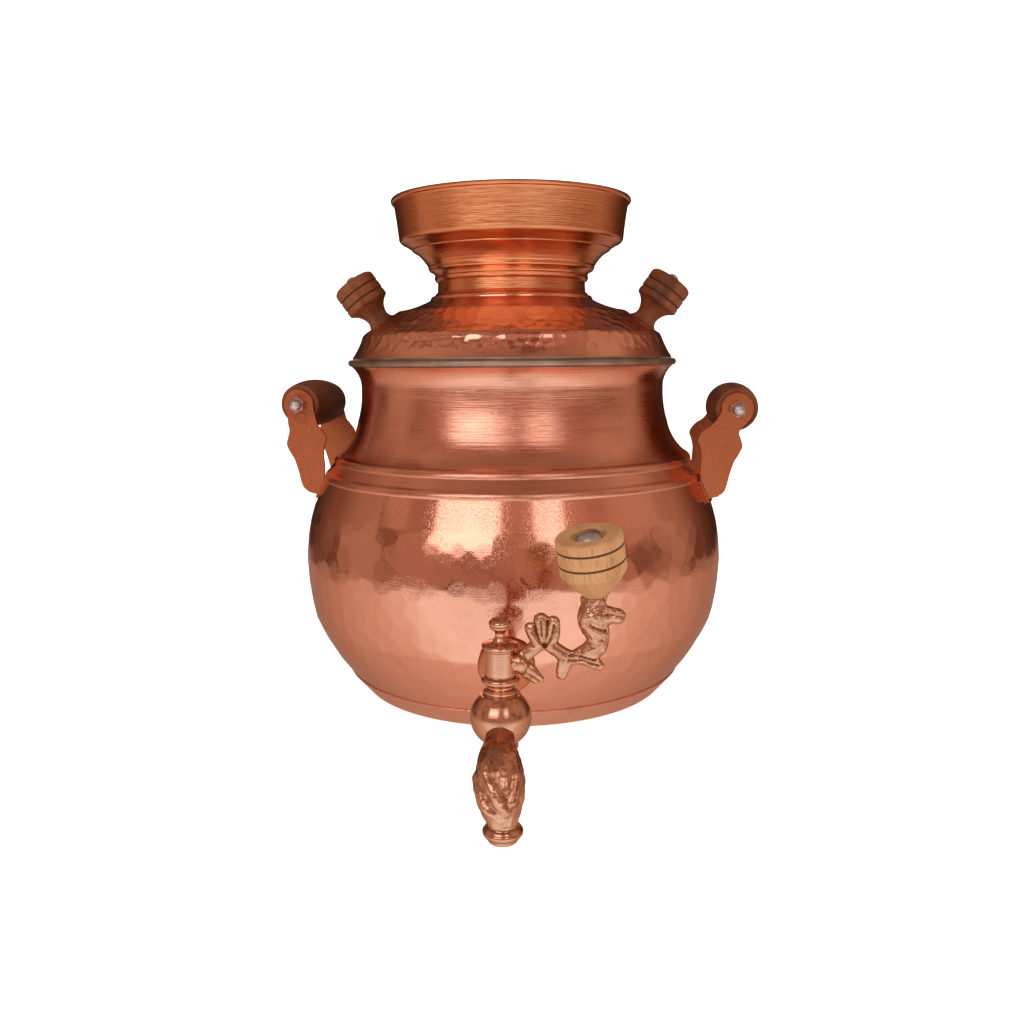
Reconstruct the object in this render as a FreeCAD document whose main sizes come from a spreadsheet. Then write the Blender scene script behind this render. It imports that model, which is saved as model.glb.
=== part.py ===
"""A spun and hammered copper hot-water urn with a tap, two grips and a lift-off lid.

Millimetres. Z is up, the foot stands on Z = 0 and the vessel's axis is the Z axis.
The tap points towards -Y and the two carrying handles stand on the X sides.
"""
import FreeCAD, Part
import math
import os
import Sketcher

Vector = FreeCAD.Vector
Rotation = FreeCAD.Rotation
Placement = FreeCAD.Placement

X_AXIS = Vector(1, 0, 0)
Y_AXIS = Vector(0, 1, 0)
Z_AXIS = Vector(0, 0, 1)

SIZES = {
    # the vessel, as radii and heights of its outer skin
    "sheet_wall": 1.2,
    "foot_radius": 91.5,
    "foot_height": 12.0,
    "foot_top_radius": 99.4,
    "haunch_radius": 118.3,
    "haunch_height": 44.0,
    "belly_radius": 122.2,
    "belly_height": 76.0,
    "shoulder_radius": 117.0,
    "shoulder_height": 108.0,
    "low_bead_radius": 110.4,
    "low_bead_height": 123.3,
    "high_bead_radius": 104.6,
    "high_bead_height": 132.8,
    "bead_rise": 4.4,
    "throat_radius": 90.6,
    "throat_height": 156.0,
    "neck_radius": 88.0,
    "neck_height": 174.0,
    "lip_radius": 93.2,
    "lip_height": 187.0,
    "rim_radius": 95.0,
    "rim_inner_radius": 89.6,
    "rim_height": 4.0,
    # the lid, its skirt and the crown that holds a pot
    "skirt_radius": 85.8,
    "skirt_depth": 14.0,
    "skirt_wall": 1.0,
    "lid_radius": 92.5,
    "lid_break_radius": 86.4,
    "lid_break_height": 203.6,
    "lid_slope": 35.1,
    "lid_dish_radius": 66.0,
    "lid_top_radius": 46.2,
    "lid_top_height": 226.5,
    "crown_neck_radius": 42.7,
    "crown_neck_top": 234.0,
    "crown_bowl_radius": 51.6,
    "crown_bowl_height": 248.0,
    "crown_wall_radius": 64.3,
    "crown_wall_height": 258.0,
    "crown_rim_radius": 67.2,
    "crown_height": 280.0,
    "ledge_inner_radius": 56.5,
    "ledge_outer_radius": 61.5,
    "ledge_height": 256.5,
    # the turned wooden lid knobs
    "lid_knob_place": 75.8,
    "lid_knob_length": 30.0,
    "lid_knob_radius": 12.8,
    "knob_groove": 0.9,
    "small_screw_radius": 2.0,
    # the carrying handles
    "right_twist": 4.0,
    "right_reach": 127.5,
    "right_height": 162.8,
    "left_twist": 7.0,
    "left_reach": 122.5,
    "left_height": 165.4,
    "bolt_radius": 2.5,
    "ear_sheet": 1.5,
    "ear_gap": 50.5,
    "strap_half_angle": 14.5,
    "strap_foot_height": 108.6,
    "strap_top_height": 122.8,
    "rivet_radius": 1.6,
    "rivet_angle": 6.5,
    "rivet_height": 115.6,
    "grip_end_radius": 11.5,
    "grip_middle_radius": 14.0,
    "grip_end_gap": 0.3,
    "running_gap": 0.06,
    # the tap
    "tap_height": 44.5,
    "tap_reach": 185.0,
    "tap_boss_radius": 11.5,
    "tap_flange_radius": 14.0,
    "tap_flange_place": 121.2,
    "tap_flange_wall": 2.0,
    "shank_radius": 6.5,
    "shank_end": 96.0,
    "water_radius": 3.6,
    "ball_radius": 12.7,
    "collar_radius": 7.3,
    "collar_top": 57.0,
    "spout_reach": 217.0,
    "spout_fall": 30.0,
    "spout_radius": 6.0,
    "spout_bend": 12.0,
    "spout_bulb_radius": 10.6,
    "spout_ring_radius": 8.2,
    "spout_mouth": 6.2,
    "plug_top_radius": 5.8,
    "plug_low_radius": 4.8,
    "plug_gap": 0.05,
    "barrel_radius": 6.4,
    "barrel_ring_radius": 7.5,
    "finial_radius": 4.3,
    "finial_top": 86.0,
    # the tap key's lever and its wooden knob
    "lever_wall": 5.0,
    "lever_height": 68.0,
    "lever_lean": 10.0,
    "knob_offset": 39.8,
    "knob_foot": 98.2,
    "knob_length": 26.0,
    "knob_radius": 13.5,
    "knob_tilt": 7.0,
    "knob_nod": 11.0,
}

doc = FreeCAD.newDocument("urn")
sheet = doc.addObject("Spreadsheet::Sheet", "Sizes")


class Size:
    """A number that remembers the sheet expression it comes from."""

    def __init__(self, value, text):
        self.value = float(value)
        self.text = text

    def join(self, other, sign, result):
        return Size(result, "(%s %s %s)" % (self.text, sign, other.text))

    def __add__(self, other):
        other = as_size(other)
        return self.join(other, "+", self.value + other.value)

    def __radd__(self, other):
        return as_size(other) + self

    def __sub__(self, other):
        other = as_size(other)
        return self.join(other, "-", self.value - other.value)

    def __rsub__(self, other):
        return as_size(other) - self

    def __mul__(self, other):
        other = as_size(other)
        return self.join(other, "*", self.value * other.value)

    def __rmul__(self, other):
        return as_size(other) * self

    def __truediv__(self, other):
        other = as_size(other)
        return self.join(other, "/", self.value / other.value)


def as_size(value):
    """Return value as a Size; a plain number is its own expression."""
    if isinstance(value, Size):
        return value
    return Size(value, "(%s)" % repr(float(value)))


class Sheet:
    """The driving dimensions: one attribute for each named cell of the sheet."""

    def __init__(self, sizes):
        for row, (name, value) in enumerate(sizes.items(), start=1):
            sheet.set("A%d" % row, name)
            sheet.set("B%d" % row, str(value))
            sheet.setAlias("B%d" % row, name)
            setattr(self, name, Size(value, "Sizes." + name))


d = Sheet(SIZES)
doc.recompute()


# Sketches and features

def new_body(name):
    """Start a body, which the sketches and features of one piece share."""
    return doc.addObject("PartDesign::Body", name)


def new_sketch(body, role):
    """Start a sketch on one of the body's own origin planes."""
    sketch = body.newObject("Sketcher::SketchObject", body.Name + "_sketch")
    plane = [item for item in body.Origin.OriginFeatures if item.Role == role][0]
    sketch.AttachmentSupport = [(plane, "")]
    sketch.MapMode = "FlatFace"
    return sketch


def bind(sketch, kind, places, size):
    """Add one dimension to a sketch and tie it to the sheet."""
    index = sketch.addConstraint(Sketcher.Constraint(kind, *places, size.value))
    sketch.setExpression("Constraints[%d]" % index, size.text)


def pin_point(sketch, shape, end, x, y):
    """Hold one point of the sketch at x, y from its origin."""
    for kind, size, axis in (("DistanceX", x, -2), ("DistanceY", y, -1)):
        if abs(size.value) < 1e-9:
            sketch.addConstraint(Sketcher.Constraint("PointOnObject", shape, end, axis))
        elif size.value > 0:
            bind(sketch, kind, (-1, 1, shape, end), size)
        else:
            bind(sketch, kind, (shape, end, -1, 1), 0 - size)


def arc_between(start, end, radius, turn):
    """Return the short arc from start to end; turn is 1 to the left and -1 to the right."""
    chord = end - start
    rise = math.sqrt(radius ** 2 - (chord.Length / 2) ** 2)
    left = Vector(-chord.y, chord.x, 0).normalize()
    centre = start + chord / 2 + left * rise * turn
    first, last = (start, end) if turn > 0 else (end, start)
    angles = [math.atan2(point.y - centre.y, point.x - centre.x) for point in (first, last)]
    return Part.ArcOfCircle(Part.Circle(centre, Z_AXIS, radius), angles[0], angles[1])


def draw(sketch, steps):
    """Draw a closed outline of lines (x, y) and arcs (x, y, radius, turn) between its points."""
    steps = [tuple(as_size(value) for value in step[:3]) + tuple(step[3:]) for step in steps]
    ends = []
    for index, step in enumerate(steps):
        before = steps[index - 1]
        start = Vector(before[0].value, before[1].value, 0)
        end = Vector(step[0].value, step[1].value, 0)
        if len(step) == 2:
            shape = sketch.addGeometry(Part.LineSegment(start, end), False)
            ends.append((shape, 1, 2))
        else:
            shape = sketch.addGeometry(arc_between(start, end, step[2].value, step[3]), False)
            ends.append((shape, 1, 2) if step[3] > 0 else (shape, 2, 1))
            bind(sketch, "Radius", (shape,), step[2])
    for index, (shape, first, last) in enumerate(ends):
        following = ends[(index + 1) % len(ends)]
        sketch.addConstraint(Sketcher.Constraint("Coincident", shape, last, following[0], following[1]))
        pin_point(sketch, shape, last, steps[index][0], steps[index][1])


def turned(name, steps, angle=None):
    """Revolve an outline of (radius, height) points about the Z axis, all round or by an angle."""
    body = new_body(name)
    sketch = new_sketch(body, "XZ_Plane")
    draw(sketch, steps)
    turn = body.newObject("PartDesign::Revolution", name + "_turn")
    turn.Profile = sketch
    turn.ReferenceAxis = (sketch, ["V_Axis"])
    if angle is not None:
        turn.setExpression("Angle", angle.text)
        turn.Midplane = True
    sketch.Visibility = False
    return body


def padded(name, role, steps, length):
    """Pad an outline to both sides of an origin plane."""
    body = new_body(name)
    sketch = new_sketch(body, role)
    draw(sketch, steps)
    pad = body.newObject("PartDesign::Pad", name + "_pad")
    pad.Profile = sketch
    pad.setExpression("Length", as_size(length).text)
    pad.SideType = "Symmetric"
    sketch.Visibility = False
    return body


def hexagon(across_flats):
    """Return the six corners of a hexagon as sketch points."""
    corner = across_flats / math.sqrt(3)
    turns = [math.radians(60 * step) for step in range(6)]
    return [(corner * math.cos(turn), corner * math.sin(turn)) for turn in turns]


def dome_radius(base, rise):
    """Return the radius of the ball cap that stands on a circle of radius base and rises by rise."""
    return (base * base + rise * rise) / (2 * rise)


def cylinder(name, radius, height, place=None):
    """Return a Part cylinder whose radius and height follow the sheet."""
    solid = doc.addObject("Part::Cylinder", name)
    solid.setExpression("Radius", as_size(radius).text)
    solid.setExpression("Height", as_size(height).text)
    solid.Placement = place or Placement()
    return solid


def fuse(name, solids):
    """Fuse solids into one."""
    joined = doc.addObject("Part::MultiFuse", name)
    joined.Shapes = solids
    joined.Refine = True
    return joined


def cut(name, base, tools):
    """Cut several tools from one solid."""
    result = doc.addObject("Part::Cut", name)
    result.Base = base
    result.Tool = tools[0] if len(tools) == 1 else fuse(name + "_tools", tools)
    return result


def keep(name, solid):
    """Give a finished sub-part its node name."""
    solid.Label = name
    nodes[name] = solid
    return solid


def along(direction, start):
    """Return the placement that lays a local Z axis along a direction from a start point."""
    return Placement(start, Rotation(Z_AXIS, direction))


nodes = {}


# The vessel

def belly_skin(inset):
    """Return the belly's outline from the foot to the low bead, moved inwards by inset."""
    return [
        (d.foot_top_radius - inset, d.foot_height),
        (d.haunch_radius - inset, d.haunch_height, 130.0, 1),
        (d.belly_radius - inset, d.belly_height, 138.0, 1),
        (d.shoulder_radius - inset, d.shoulder_height, 102.0, 1),
        (d.low_bead_radius - inset, d.low_bead_height),
    ]


def neck_skin(inset):
    """Return the neck's outline from the low bead to the lip, moved inwards by inset."""
    bead_slope = (d.low_bead_radius - d.high_bead_radius) / (d.high_bead_height - d.low_bead_height)
    bead_run = bead_slope * d.bead_rise
    return [
        (d.low_bead_radius - inset, d.low_bead_height),
        (d.low_bead_radius - bead_run - inset, d.low_bead_height + d.bead_rise, 3.6, 1),
        (d.high_bead_radius - inset, d.high_bead_height),
        (d.high_bead_radius - bead_run - inset, d.high_bead_height + d.bead_rise, 3.6, 1),
        (d.throat_radius - inset, d.throat_height, 31.5, -1),
        (d.neck_radius - inset, d.neck_height, 55.0, -1),
        (d.lip_radius - inset, d.lip_height, 15.3, -1),
    ]


def backwards(skin):
    """Return an outline's steps in the other order, with its arcs bent the other way."""
    steps = [skin[-1][:2]]
    for index in range(len(skin) - 1, 0, -1):
        bend = skin[index][2:]
        steps.append(skin[index - 1][:2] + ((bend[0], -bend[1]) if bend else ()))
    return steps


def solid_form(name, inset):
    """Return the filled shape within the belly's skin, used to fit saddles against it."""
    steps = belly_skin(inset) + [(0, d.low_bead_height), (0, d.foot_height)]
    return turned(name, steps)


def tap_hole(name, radius):
    """Return a cylinder along the tap's axis, from inside the vessel outwards."""
    return cylinder(name, radius, 60, along(-Y_AXIS, Vector(0, -80, d.tap_height.value)))


def radial_place(frame, angle, height, reach):
    """Return a placement whose local Z points outwards, square to the strap's slope."""
    run = d.shoulder_radius.value - d.low_bead_radius.value
    rise = d.low_bead_height.value - d.shoulder_height.value
    slope = math.atan2(run, rise)
    outward = Vector(math.cos(slope), 0, math.sin(slope))
    middle = d.shoulder_radius.value - (height - d.shoulder_height.value) * run / rise
    local = along(outward, Vector(middle, 0, height) + outward * reach)
    return frame.multiply(Placement(Vector(), Rotation(Z_AXIS, angle))).multiply(local)


def rivet_holes(name, frame):
    """Return the two cylinders that pierce a strap and the wall behind it."""
    holes = []
    for side, angle in (("low", -d.rivet_angle.value), ("high", d.rivet_angle.value)):
        place = radial_place(frame, angle, d.rivet_height.value, -6)
        holes.append(cylinder("%s_%s" % (name, side), d.rivet_radius + 0.05, 12, place))
    return holes


def belly_shell():
    """Return the hammered belly, with the tap's hole and the rivets' holes."""
    wall = turned("belly_wall", belly_skin(0) + backwards(belly_skin(d.sheet_wall)))
    holes = [tap_hole("shell_tap_hole", d.shank_radius + 0.3)]
    for side, frame in FRAMES.items():
        holes += rivet_holes("shell_rivet_hole_" + side, frame)
    keep("belly_shell", cut("belly_shell", wall, holes))


def neck_shell():
    """Return the spun neck with its two beads, which stands on the belly."""
    keep("neck_shell", turned("neck_shell", neck_skin(0) + backwards(neck_skin(d.sheet_wall))))


def base_pan():
    """Return the shallow pan that closes the vessel and stands on the table."""
    wall = d.sheet_wall
    steps = [
        (0, 0),
        (d.foot_radius - 2, 0),
        (d.foot_radius, 1.6, 2.6, 1),
        (d.foot_top_radius, d.foot_height),
        (d.foot_top_radius - wall, d.foot_height),
        (d.foot_radius - wall, wall + 1.0),
        (0, wall + 1.0),
    ]
    keep("base_pan", turned("base_pan", steps))


def rim_roll():
    """Return the tinned ring that the neck's lip is rolled into."""
    top = d.lip_height + d.rim_height
    steps = [
        (d.rim_inner_radius, d.lip_height),
        (d.rim_radius - 0.8, d.lip_height),
        (d.rim_radius - 0.8, top, 2.4, 1),
        (d.rim_inner_radius, top),
    ]
    keep("rim_roll", turned("rim_roll", steps))


# The handles

def side_frames():
    """Return each side's placement about the Z axis; both handles are twisted the same way round."""
    return {
        "right": Placement(Vector(), Rotation(Z_AXIS, -d.right_twist.value)),
        "left": Placement(Vector(), Rotation(Z_AXIS, 180 - d.left_twist.value)),
    }


FRAMES = side_frames()
REACHES = {"right": d.right_reach, "left": d.left_reach}
HEIGHTS = {"right": d.right_height, "left": d.left_height}


def ear_outline(side):
    """Return the flat ear's scalloped outline as distance from the axis and height."""
    reach = REACHES[side]
    height = HEIGHTS[side]
    return [
        (118.2, 113.8),
        (122.4, 118.6),
        (126.2, 133.0),
        (130.6, 143.0, 8.5, 1),
        (128.7, 151.0, 6.0, 1),
        (reach + 6.4, height - 6.4, 9.5, -1),
        (reach + 6.4, height + 6.4, 9.05, 1),
        (reach - 6.4, height + 6.4, 9.05, 1),
        (reach - 9.4, height - 5.0, 9.6, 1),
        (109.4, 152.0, 14.0, -1),
        (106.4, 145.6, 6.0, 1),
        (108.6, 137.0, 6.5, 1),
        (108.8, 128.6, 9.0, -1),
        (108.4, 122.4),
        (112.7, 112.2),
    ]


def strap_outline():
    """Return the strap's section, laid on the straight slope of the vessel's shoulder."""
    rise = d.low_bead_height - d.shoulder_height
    slope = (d.shoulder_radius - d.low_bead_radius) / rise
    foot = d.shoulder_radius - slope * (d.strap_foot_height - d.shoulder_height) + 0.1
    top = d.shoulder_radius - slope * (d.strap_top_height - d.shoulder_height) + 0.1
    across = d.ear_sheet * 1.09
    return [
        (foot, d.strap_foot_height),
        (foot + across, d.strap_foot_height),
        (top + across, d.strap_top_height),
        (top, d.strap_top_height),
    ]


def handle_bracket(side, frame):
    """Return two ears that stand on a strap riveted to the shoulder."""
    solids = [turned("strap_" + side, strap_outline(), d.strap_half_angle * 2)]
    solids[0].Placement = frame
    step = (d.ear_gap.value + d.ear_sheet.value) / 2
    for name, offset in (("front", -step), ("back", step)):
        ear = padded("ear_%s_%s" % (name, side), "XZ_Plane", ear_outline(side), d.ear_sheet)
        ear.Placement = frame.multiply(Placement(Vector(0, offset, 0), Rotation()))
        solids.append(ear)
    holes = rivet_holes("bracket_rivet_hole_" + side, frame)
    bolt_line = along(Y_AXIS, Vector(REACHES[side].value, -40, HEIGHTS[side].value))
    holes.append(cylinder("bolt_hole_" + side, d.bolt_radius + 0.1, 80, frame.multiply(bolt_line)))
    bracket = fuse("bracket_form_" + side, solids)
    keep("handle_bracket_" + side, cut("handle_bracket_" + side, bracket, holes))


def handle_rivets(side, frame):
    """Return the two copper rivets, a round head outside and a flat tail inside."""
    wall = d.sheet_wall + d.ear_sheet + 0.2
    steps = [
        (0, 0 - wall - 1.2),
        (3.2, 0 - wall - 1.2),
        (3.2, 0 - wall - 0.15),
        (d.rivet_radius, 0 - wall - 0.15),
        (d.rivet_radius, 0.05),
        (3.6, 0.05),
        (0, 2.05, dome_radius(3.6, 2.0), 1),
    ]
    rivets = []
    for name, angle in (("low", -d.rivet_angle.value), ("high", d.rivet_angle.value)):
        rivet = turned("rivet_%s_%s" % (name, side), steps)
        rivet.Placement = radial_place(frame, angle, d.rivet_height.value, d.ear_sheet.value + 0.15)
        rivets.append(rivet)
    pair = doc.addObject("Part::Compound", "handle_rivets_" + side)
    pair.Links = rivets
    keep("handle_rivets_" + side, pair)


def bolt_place(side, offset):
    """Return a placement on the handle's bolt axis, its local Z towards the back."""
    middle = Vector(REACHES[side].value, 0, HEIGHTS[side].value)
    line = along(Y_AXIS if side == "right" else -Y_AXIS, middle)
    return FRAMES[side].multiply(line).multiply(Placement(Vector(0, 0, offset), Rotation()))


def handle_bolt(side):
    """Return the long bolt: a hexagon head behind the back ear and a plain shank."""
    outside = d.ear_gap / 2 + d.ear_sheet
    head = padded("bolt_head_" + side, "XY_Plane", hexagon(8.0), 3.5)
    head.Placement = bolt_place(side, outside.value + 1.75)
    shank_place = bolt_place(side, -outside.value - 5.0)
    shank = cylinder("bolt_shank_" + side, d.bolt_radius, outside * 2 + 5.5, shank_place)
    keep("handle_bolt_" + side, fuse("handle_bolt_" + side, [head, shank]))


def handle_nut(side):
    """Return the domed cap nut in front of the front ear."""
    outside = d.ear_gap / 2 + d.ear_sheet
    flats = padded("nut_flats_" + side, "XY_Plane", hexagon(8.0), 4.0)
    flats.Placement = bolt_place(side, -outside.value - 2.0)
    dome = turned("nut_dome_" + side, [(0, 0), (3.7, 0), (3.7, 1.0), (0, 4.2, dome_radius(3.7, 3.2), 1)])
    upside_down = Placement(Vector(), Rotation(X_AXIS, 180))
    dome.Placement = bolt_place(side, -outside.value - 4.0).multiply(upside_down)
    thread_place = bolt_place(side, -outside.value - 5.2)
    thread = cylinder("nut_thread_" + side, d.bolt_radius + 0.05, 6.0, thread_place)
    nut = fuse("nut_form_" + side, [flats, dome])
    keep("handle_nut_" + side, cut("handle_nut_" + side, nut, [thread]))


def handle_grip(side):
    """Return the barrel-shaped wooden grip, bored to turn on the bolt."""
    half = d.ear_gap / 2 - d.grip_end_gap
    bore = d.bolt_radius + d.running_gap
    steps = [
        (bore, 0 - half),
        (d.grip_end_radius - 1, 0 - half),
        (d.grip_end_radius, 1 - half, 1.0, 1),
        (d.grip_middle_radius, 0, 125.0, 1),
        (d.grip_end_radius, half - 1, 125.0, 1),
        (d.grip_end_radius - 1, half, 1.0, 1),
        (bore, half),
    ]
    grip = turned("handle_grip_" + side, steps)
    grip.Placement = bolt_place(side, 0)
    keep("handle_grip_" + side, grip)


# The lid

def lid_skirt():
    """Return the ring that centres the lid in the neck and rests on the rim."""
    seat = d.lip_height + d.rim_height
    inner = d.skirt_radius - d.skirt_wall
    steps = [
        (inner, seat - d.skirt_depth),
        (d.skirt_radius, seat - d.skirt_depth),
        (d.skirt_radius, seat),
        (d.lid_radius, seat),
        (d.lid_radius, seat + d.skirt_wall),
        (inner, seat + d.skirt_wall),
    ]
    keep("lid_skirt", turned("lid_skirt", steps))


def knob_frame(side):
    """Return a lid knob's placement: square to the lid's slope, with its foot on the lid."""
    turn = math.radians(d.lid_slope.value)
    outward = Vector(math.sin(turn), 0, math.cos(turn))
    run = d.lid_break_radius.value - d.lid_knob_place.value
    height = d.lid_break_height.value + run * math.tan(turn)
    place = along(outward, Vector(d.lid_knob_place.value, 0, height))
    return Placement(Vector(), Rotation(Z_AXIS, 0 if side == "right" else 180)).multiply(place)


def lid_dome():
    """Return the lid: a steep flare, a cone that carries the knobs, and a dish up to the crown."""
    seat = d.lip_height + d.rim_height + d.skirt_wall
    shift = d.sheet_wall * 0.8
    slope = math.tan(math.radians(d.lid_slope.value))
    dish_height = d.lid_break_height + (d.lid_break_radius - d.lid_dish_radius) * slope
    top = d.lid_top_height
    steps = [
        (d.lid_radius, seat),
        (d.lid_break_radius, d.lid_break_height, 42.0, -1),
        (d.lid_dish_radius, dish_height),
        (d.lid_top_radius + 1, top - 2.2, 60.0, -1),
        (d.lid_top_radius, top),
        (d.crown_neck_radius - 2.4, top),
        (d.crown_neck_radius - 2.4, top - d.sheet_wall),
        (d.lid_top_radius + 1 - shift, top - 2.2 - shift),
        (d.lid_dish_radius - shift, dish_height - shift, 60.0, 1),
        (d.lid_break_radius - shift, d.lid_break_height - shift),
        (d.lid_radius - d.sheet_wall, seat, 42.0, 1),
    ]
    dome = turned("lid_form", steps)
    holes = []
    for side in ("left", "right"):
        place = knob_frame(side).multiply(Placement(Vector(0, 0, -8), Rotation()))
        holes.append(cylinder("lid_hole_" + side, d.small_screw_radius + 0.1, 16, place))
    keep("lid_dome", cut("lid_dome", dome, holes))


def crown():
    """Return the crown: a narrow neck that opens to a wide cup with a ledge for a pot."""
    wall = d.sheet_wall
    top = d.crown_height
    steps = [
        (d.crown_neck_radius, d.lid_top_height),
        (d.crown_neck_radius, d.crown_neck_top),
        (d.crown_bowl_radius - 4, d.crown_bowl_height - 6.8, 26.0, -1),
        (d.crown_bowl_radius, d.crown_bowl_height),
        (d.crown_bowl_radius + 5, d.crown_bowl_height + 4),
        (d.crown_wall_radius - 1, d.crown_wall_height - 2.0),
        (d.crown_wall_radius, d.crown_wall_height, 2.6, 1),
        (d.crown_rim_radius - 0.3, top - 3.0, 230.0, -1),
        (d.crown_rim_radius - 0.3, top, 1.6, 1),
        (d.crown_rim_radius - 1.3, top - 0.6),
        (d.ledge_outer_radius + 1.0, d.ledge_height + 3.4),
        (d.ledge_outer_radius, d.ledge_height),
        (d.ledge_inner_radius, d.ledge_height),
        (d.crown_bowl_radius - wall, d.crown_bowl_height + 1.4),
        (d.crown_bowl_radius - 4 - wall, d.crown_bowl_height - 6.0),
        (d.crown_neck_radius - wall, d.crown_neck_top, 26.0, 1),
        (d.crown_neck_radius - wall, d.lid_top_height),
    ]
    keep("crown", turned("crown", steps))


def lid_knob(side):
    """Return a turned wooden knob with a waist, a drum and two grooves."""
    length = d.lid_knob_length
    radius = d.lid_knob_radius
    deep = radius - d.knob_groove
    bore = d.small_screw_radius + 0.1
    steps = [
        (bore, 0.05),
        (8.5, 0.05),
        (6.4, 4.0, 6.0, -1),
        (radius, 14.0, 10.0, -1),
        (radius, length - 13.0),
        (deep, length - 12.2),
        (radius, length - 11.4),
        (radius, length - 7.6),
        (deep, length - 6.8),
        (radius, length - 6.0),
        (radius, length - 2.2),
        (radius - 2.2, length, 2.4, 1),
        (bore, length),
    ]
    knob = turned("lid_knob_" + side, steps)
    knob.Placement = knob_frame(side)
    keep("lid_knob_" + side, knob)


def domed_screw(name, head_radius, head_height, shank_radius, length):
    """Return a round-headed screw: the head stands on local Z = 0 and the shank runs down."""
    dome = dome_radius(head_radius, head_height)
    steps = [
        (0, 0 - length),
        (shank_radius, 0 - length),
        (shank_radius, 0),
        (head_radius, 0),
        (0, head_height, dome, 1),
    ]
    return turned(name, steps)


def lid_knob_bolt(side):
    """Return the screw that comes down through the knob and the lid."""
    length = d.lid_knob_length + 7.5
    screw = domed_screw("lid_knob_bolt_" + side, 3.8, 2.8, d.small_screw_radius, length)
    up = Placement(Vector(0, 0, d.lid_knob_length.value + 0.05), Rotation())
    screw.Placement = knob_frame(side).multiply(up)
    keep("lid_knob_bolt_" + side, screw)


def lid_knob_washer(side):
    """Return the washer between the lid's inside and its nut."""
    bore = d.small_screw_radius + 0.15
    washer = turned("lid_knob_washer_" + side, [(bore, -2.7), (4.5, -2.7), (4.5, -1.9), (bore, -1.9)])
    washer.Placement = knob_frame(side)
    keep("lid_knob_washer_" + side, washer)


def lid_knob_nut(side):
    """Return the hexagon nut under the lid."""
    flats = padded("small_nut_form_" + side, "XY_Plane", hexagon(7.0), 3.2)
    flats.Placement = knob_frame(side).multiply(Placement(Vector(0, 0, -4.4), Rotation()))
    low = knob_frame(side).multiply(Placement(Vector(0, 0, -7), Rotation()))
    thread = cylinder("small_nut_thread_" + side, d.small_screw_radius + 0.05, 6, low)
    keep("lid_knob_nut_" + side, cut("lid_knob_nut_" + side, flats, [thread]))


# The tap

def tap_point(reach, height):
    """Return a point in the tap's own upright plane."""
    return Vector(0, -reach, height)


def tap_boss():
    """Return the saddle that fills in between the sloping wall and the tap's upright flange."""
    start = tap_point(105, d.tap_height.value)
    block = cylinder("boss_block", d.tap_boss_radius, d.tap_flange_place - 105, along(-Y_AXIS, start))
    form = solid_form("outer_form", -0.1)
    hole = tap_hole("boss_hole", d.shank_radius + 0.3)
    keep("tap_boss", cut("tap_boss", block, [form, hole]))


def tap_flange():
    """Return the round plate that covers the tap's hole."""
    wall = d.tap_flange_wall
    inner = d.shank_radius + 0.1
    steps = [
        (inner, 0.02),
        (d.tap_flange_radius, 0.02),
        (d.tap_flange_radius, wall * 0.5),
        (d.tap_flange_radius - 1.5, wall, 1.9, 1),
        (inner, wall + 0.6),
    ]
    flange = turned("tap_flange", steps)
    flange.Placement = along(-Y_AXIS, tap_point(d.tap_flange_place.value, d.tap_height.value))
    keep("tap_flange", flange)


def tap_inner_saddle():
    """Return the fibre saddle that seals the hole from inside."""
    start = tap_point(104, d.tap_height.value)
    block = cylinder("inner_block", d.tap_boss_radius, 20, along(-Y_AXIS, start))
    form = solid_form("inner_form", d.sheet_wall + 0.1)
    inside = doc.addObject("Part::MultiCommon", "inner_common")
    inside.Shapes = [block, form]
    hole = tap_hole("inner_hole", d.shank_radius + 0.3)
    keep("tap_inner_saddle", cut("tap_inner_saddle", inside, [hole]))


def tap_locknut():
    """Return the thin backnut that pulls the tap tight from inside."""
    place = along(-Y_AXIS, tap_point(104 - 2.6, d.tap_height.value))
    flats = padded("locknut_form", "XY_Plane", hexagon(20.0), 5.0)
    flats.Placement = place
    low = place.multiply(Placement(Vector(0, 0, -5), Rotation()))
    thread = cylinder("locknut_thread", d.shank_radius + 0.05, 10, low)
    keep("tap_locknut", cut("tap_locknut", flats, [thread]))


def spout_path(first_reach):
    """Return the spout's centre line: a slanting run, a bend and an upright run to the mouth."""
    fall = math.radians(d.spout_fall.value)
    bend = d.spout_bend.value
    corner_height = d.tap_height.value - (d.spout_reach.value - d.tap_reach.value) * math.tan(fall)
    tangent = bend * math.tan((math.pi / 2 - fall) / 2)
    slant = Vector(0, -math.cos(fall), -math.sin(fall))
    corner = tap_point(d.spout_reach.value, corner_height)
    bend_start = corner - slant * tangent
    bend_end = corner + Vector(0, 0, -tangent)
    centre = tap_point(d.spout_reach.value - bend, bend_end.z)
    middle = centre + (corner - centre).normalize() * bend
    first = tap_point(d.tap_reach.value, d.tap_height.value) + slant * first_reach
    mouth = tap_point(d.spout_reach.value, d.spout_mouth.value)
    runs = [
        Part.LineSegment(first, bend_start).toShape(),
        Part.Arc(bend_start, middle, bend_end).toShape(),
        Part.LineSegment(bend_end, mouth).toShape(),
    ]
    return Part.Wire(runs), slant


def spout_tube(name, radius, first_reach, extra):
    """Return a round bar swept along the spout's centre line, longer by extra at the mouth."""
    path, slant = spout_path(first_reach)
    start = path.Vertexes[0].Point
    section = Part.Wire([Part.makeCircle(radius, start, slant)])
    tube = doc.addObject("Part::Feature", name)
    solid = path.makePipeShell([section], True, False)
    if extra > 0:
        mouth = tap_point(d.spout_reach.value, d.spout_mouth.value)
        solid = solid.fuse(Part.makeCylinder(radius, extra + 1, mouth + Z_AXIS, -Z_AXIS))
    tube.Shape = solid
    return tube


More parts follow.
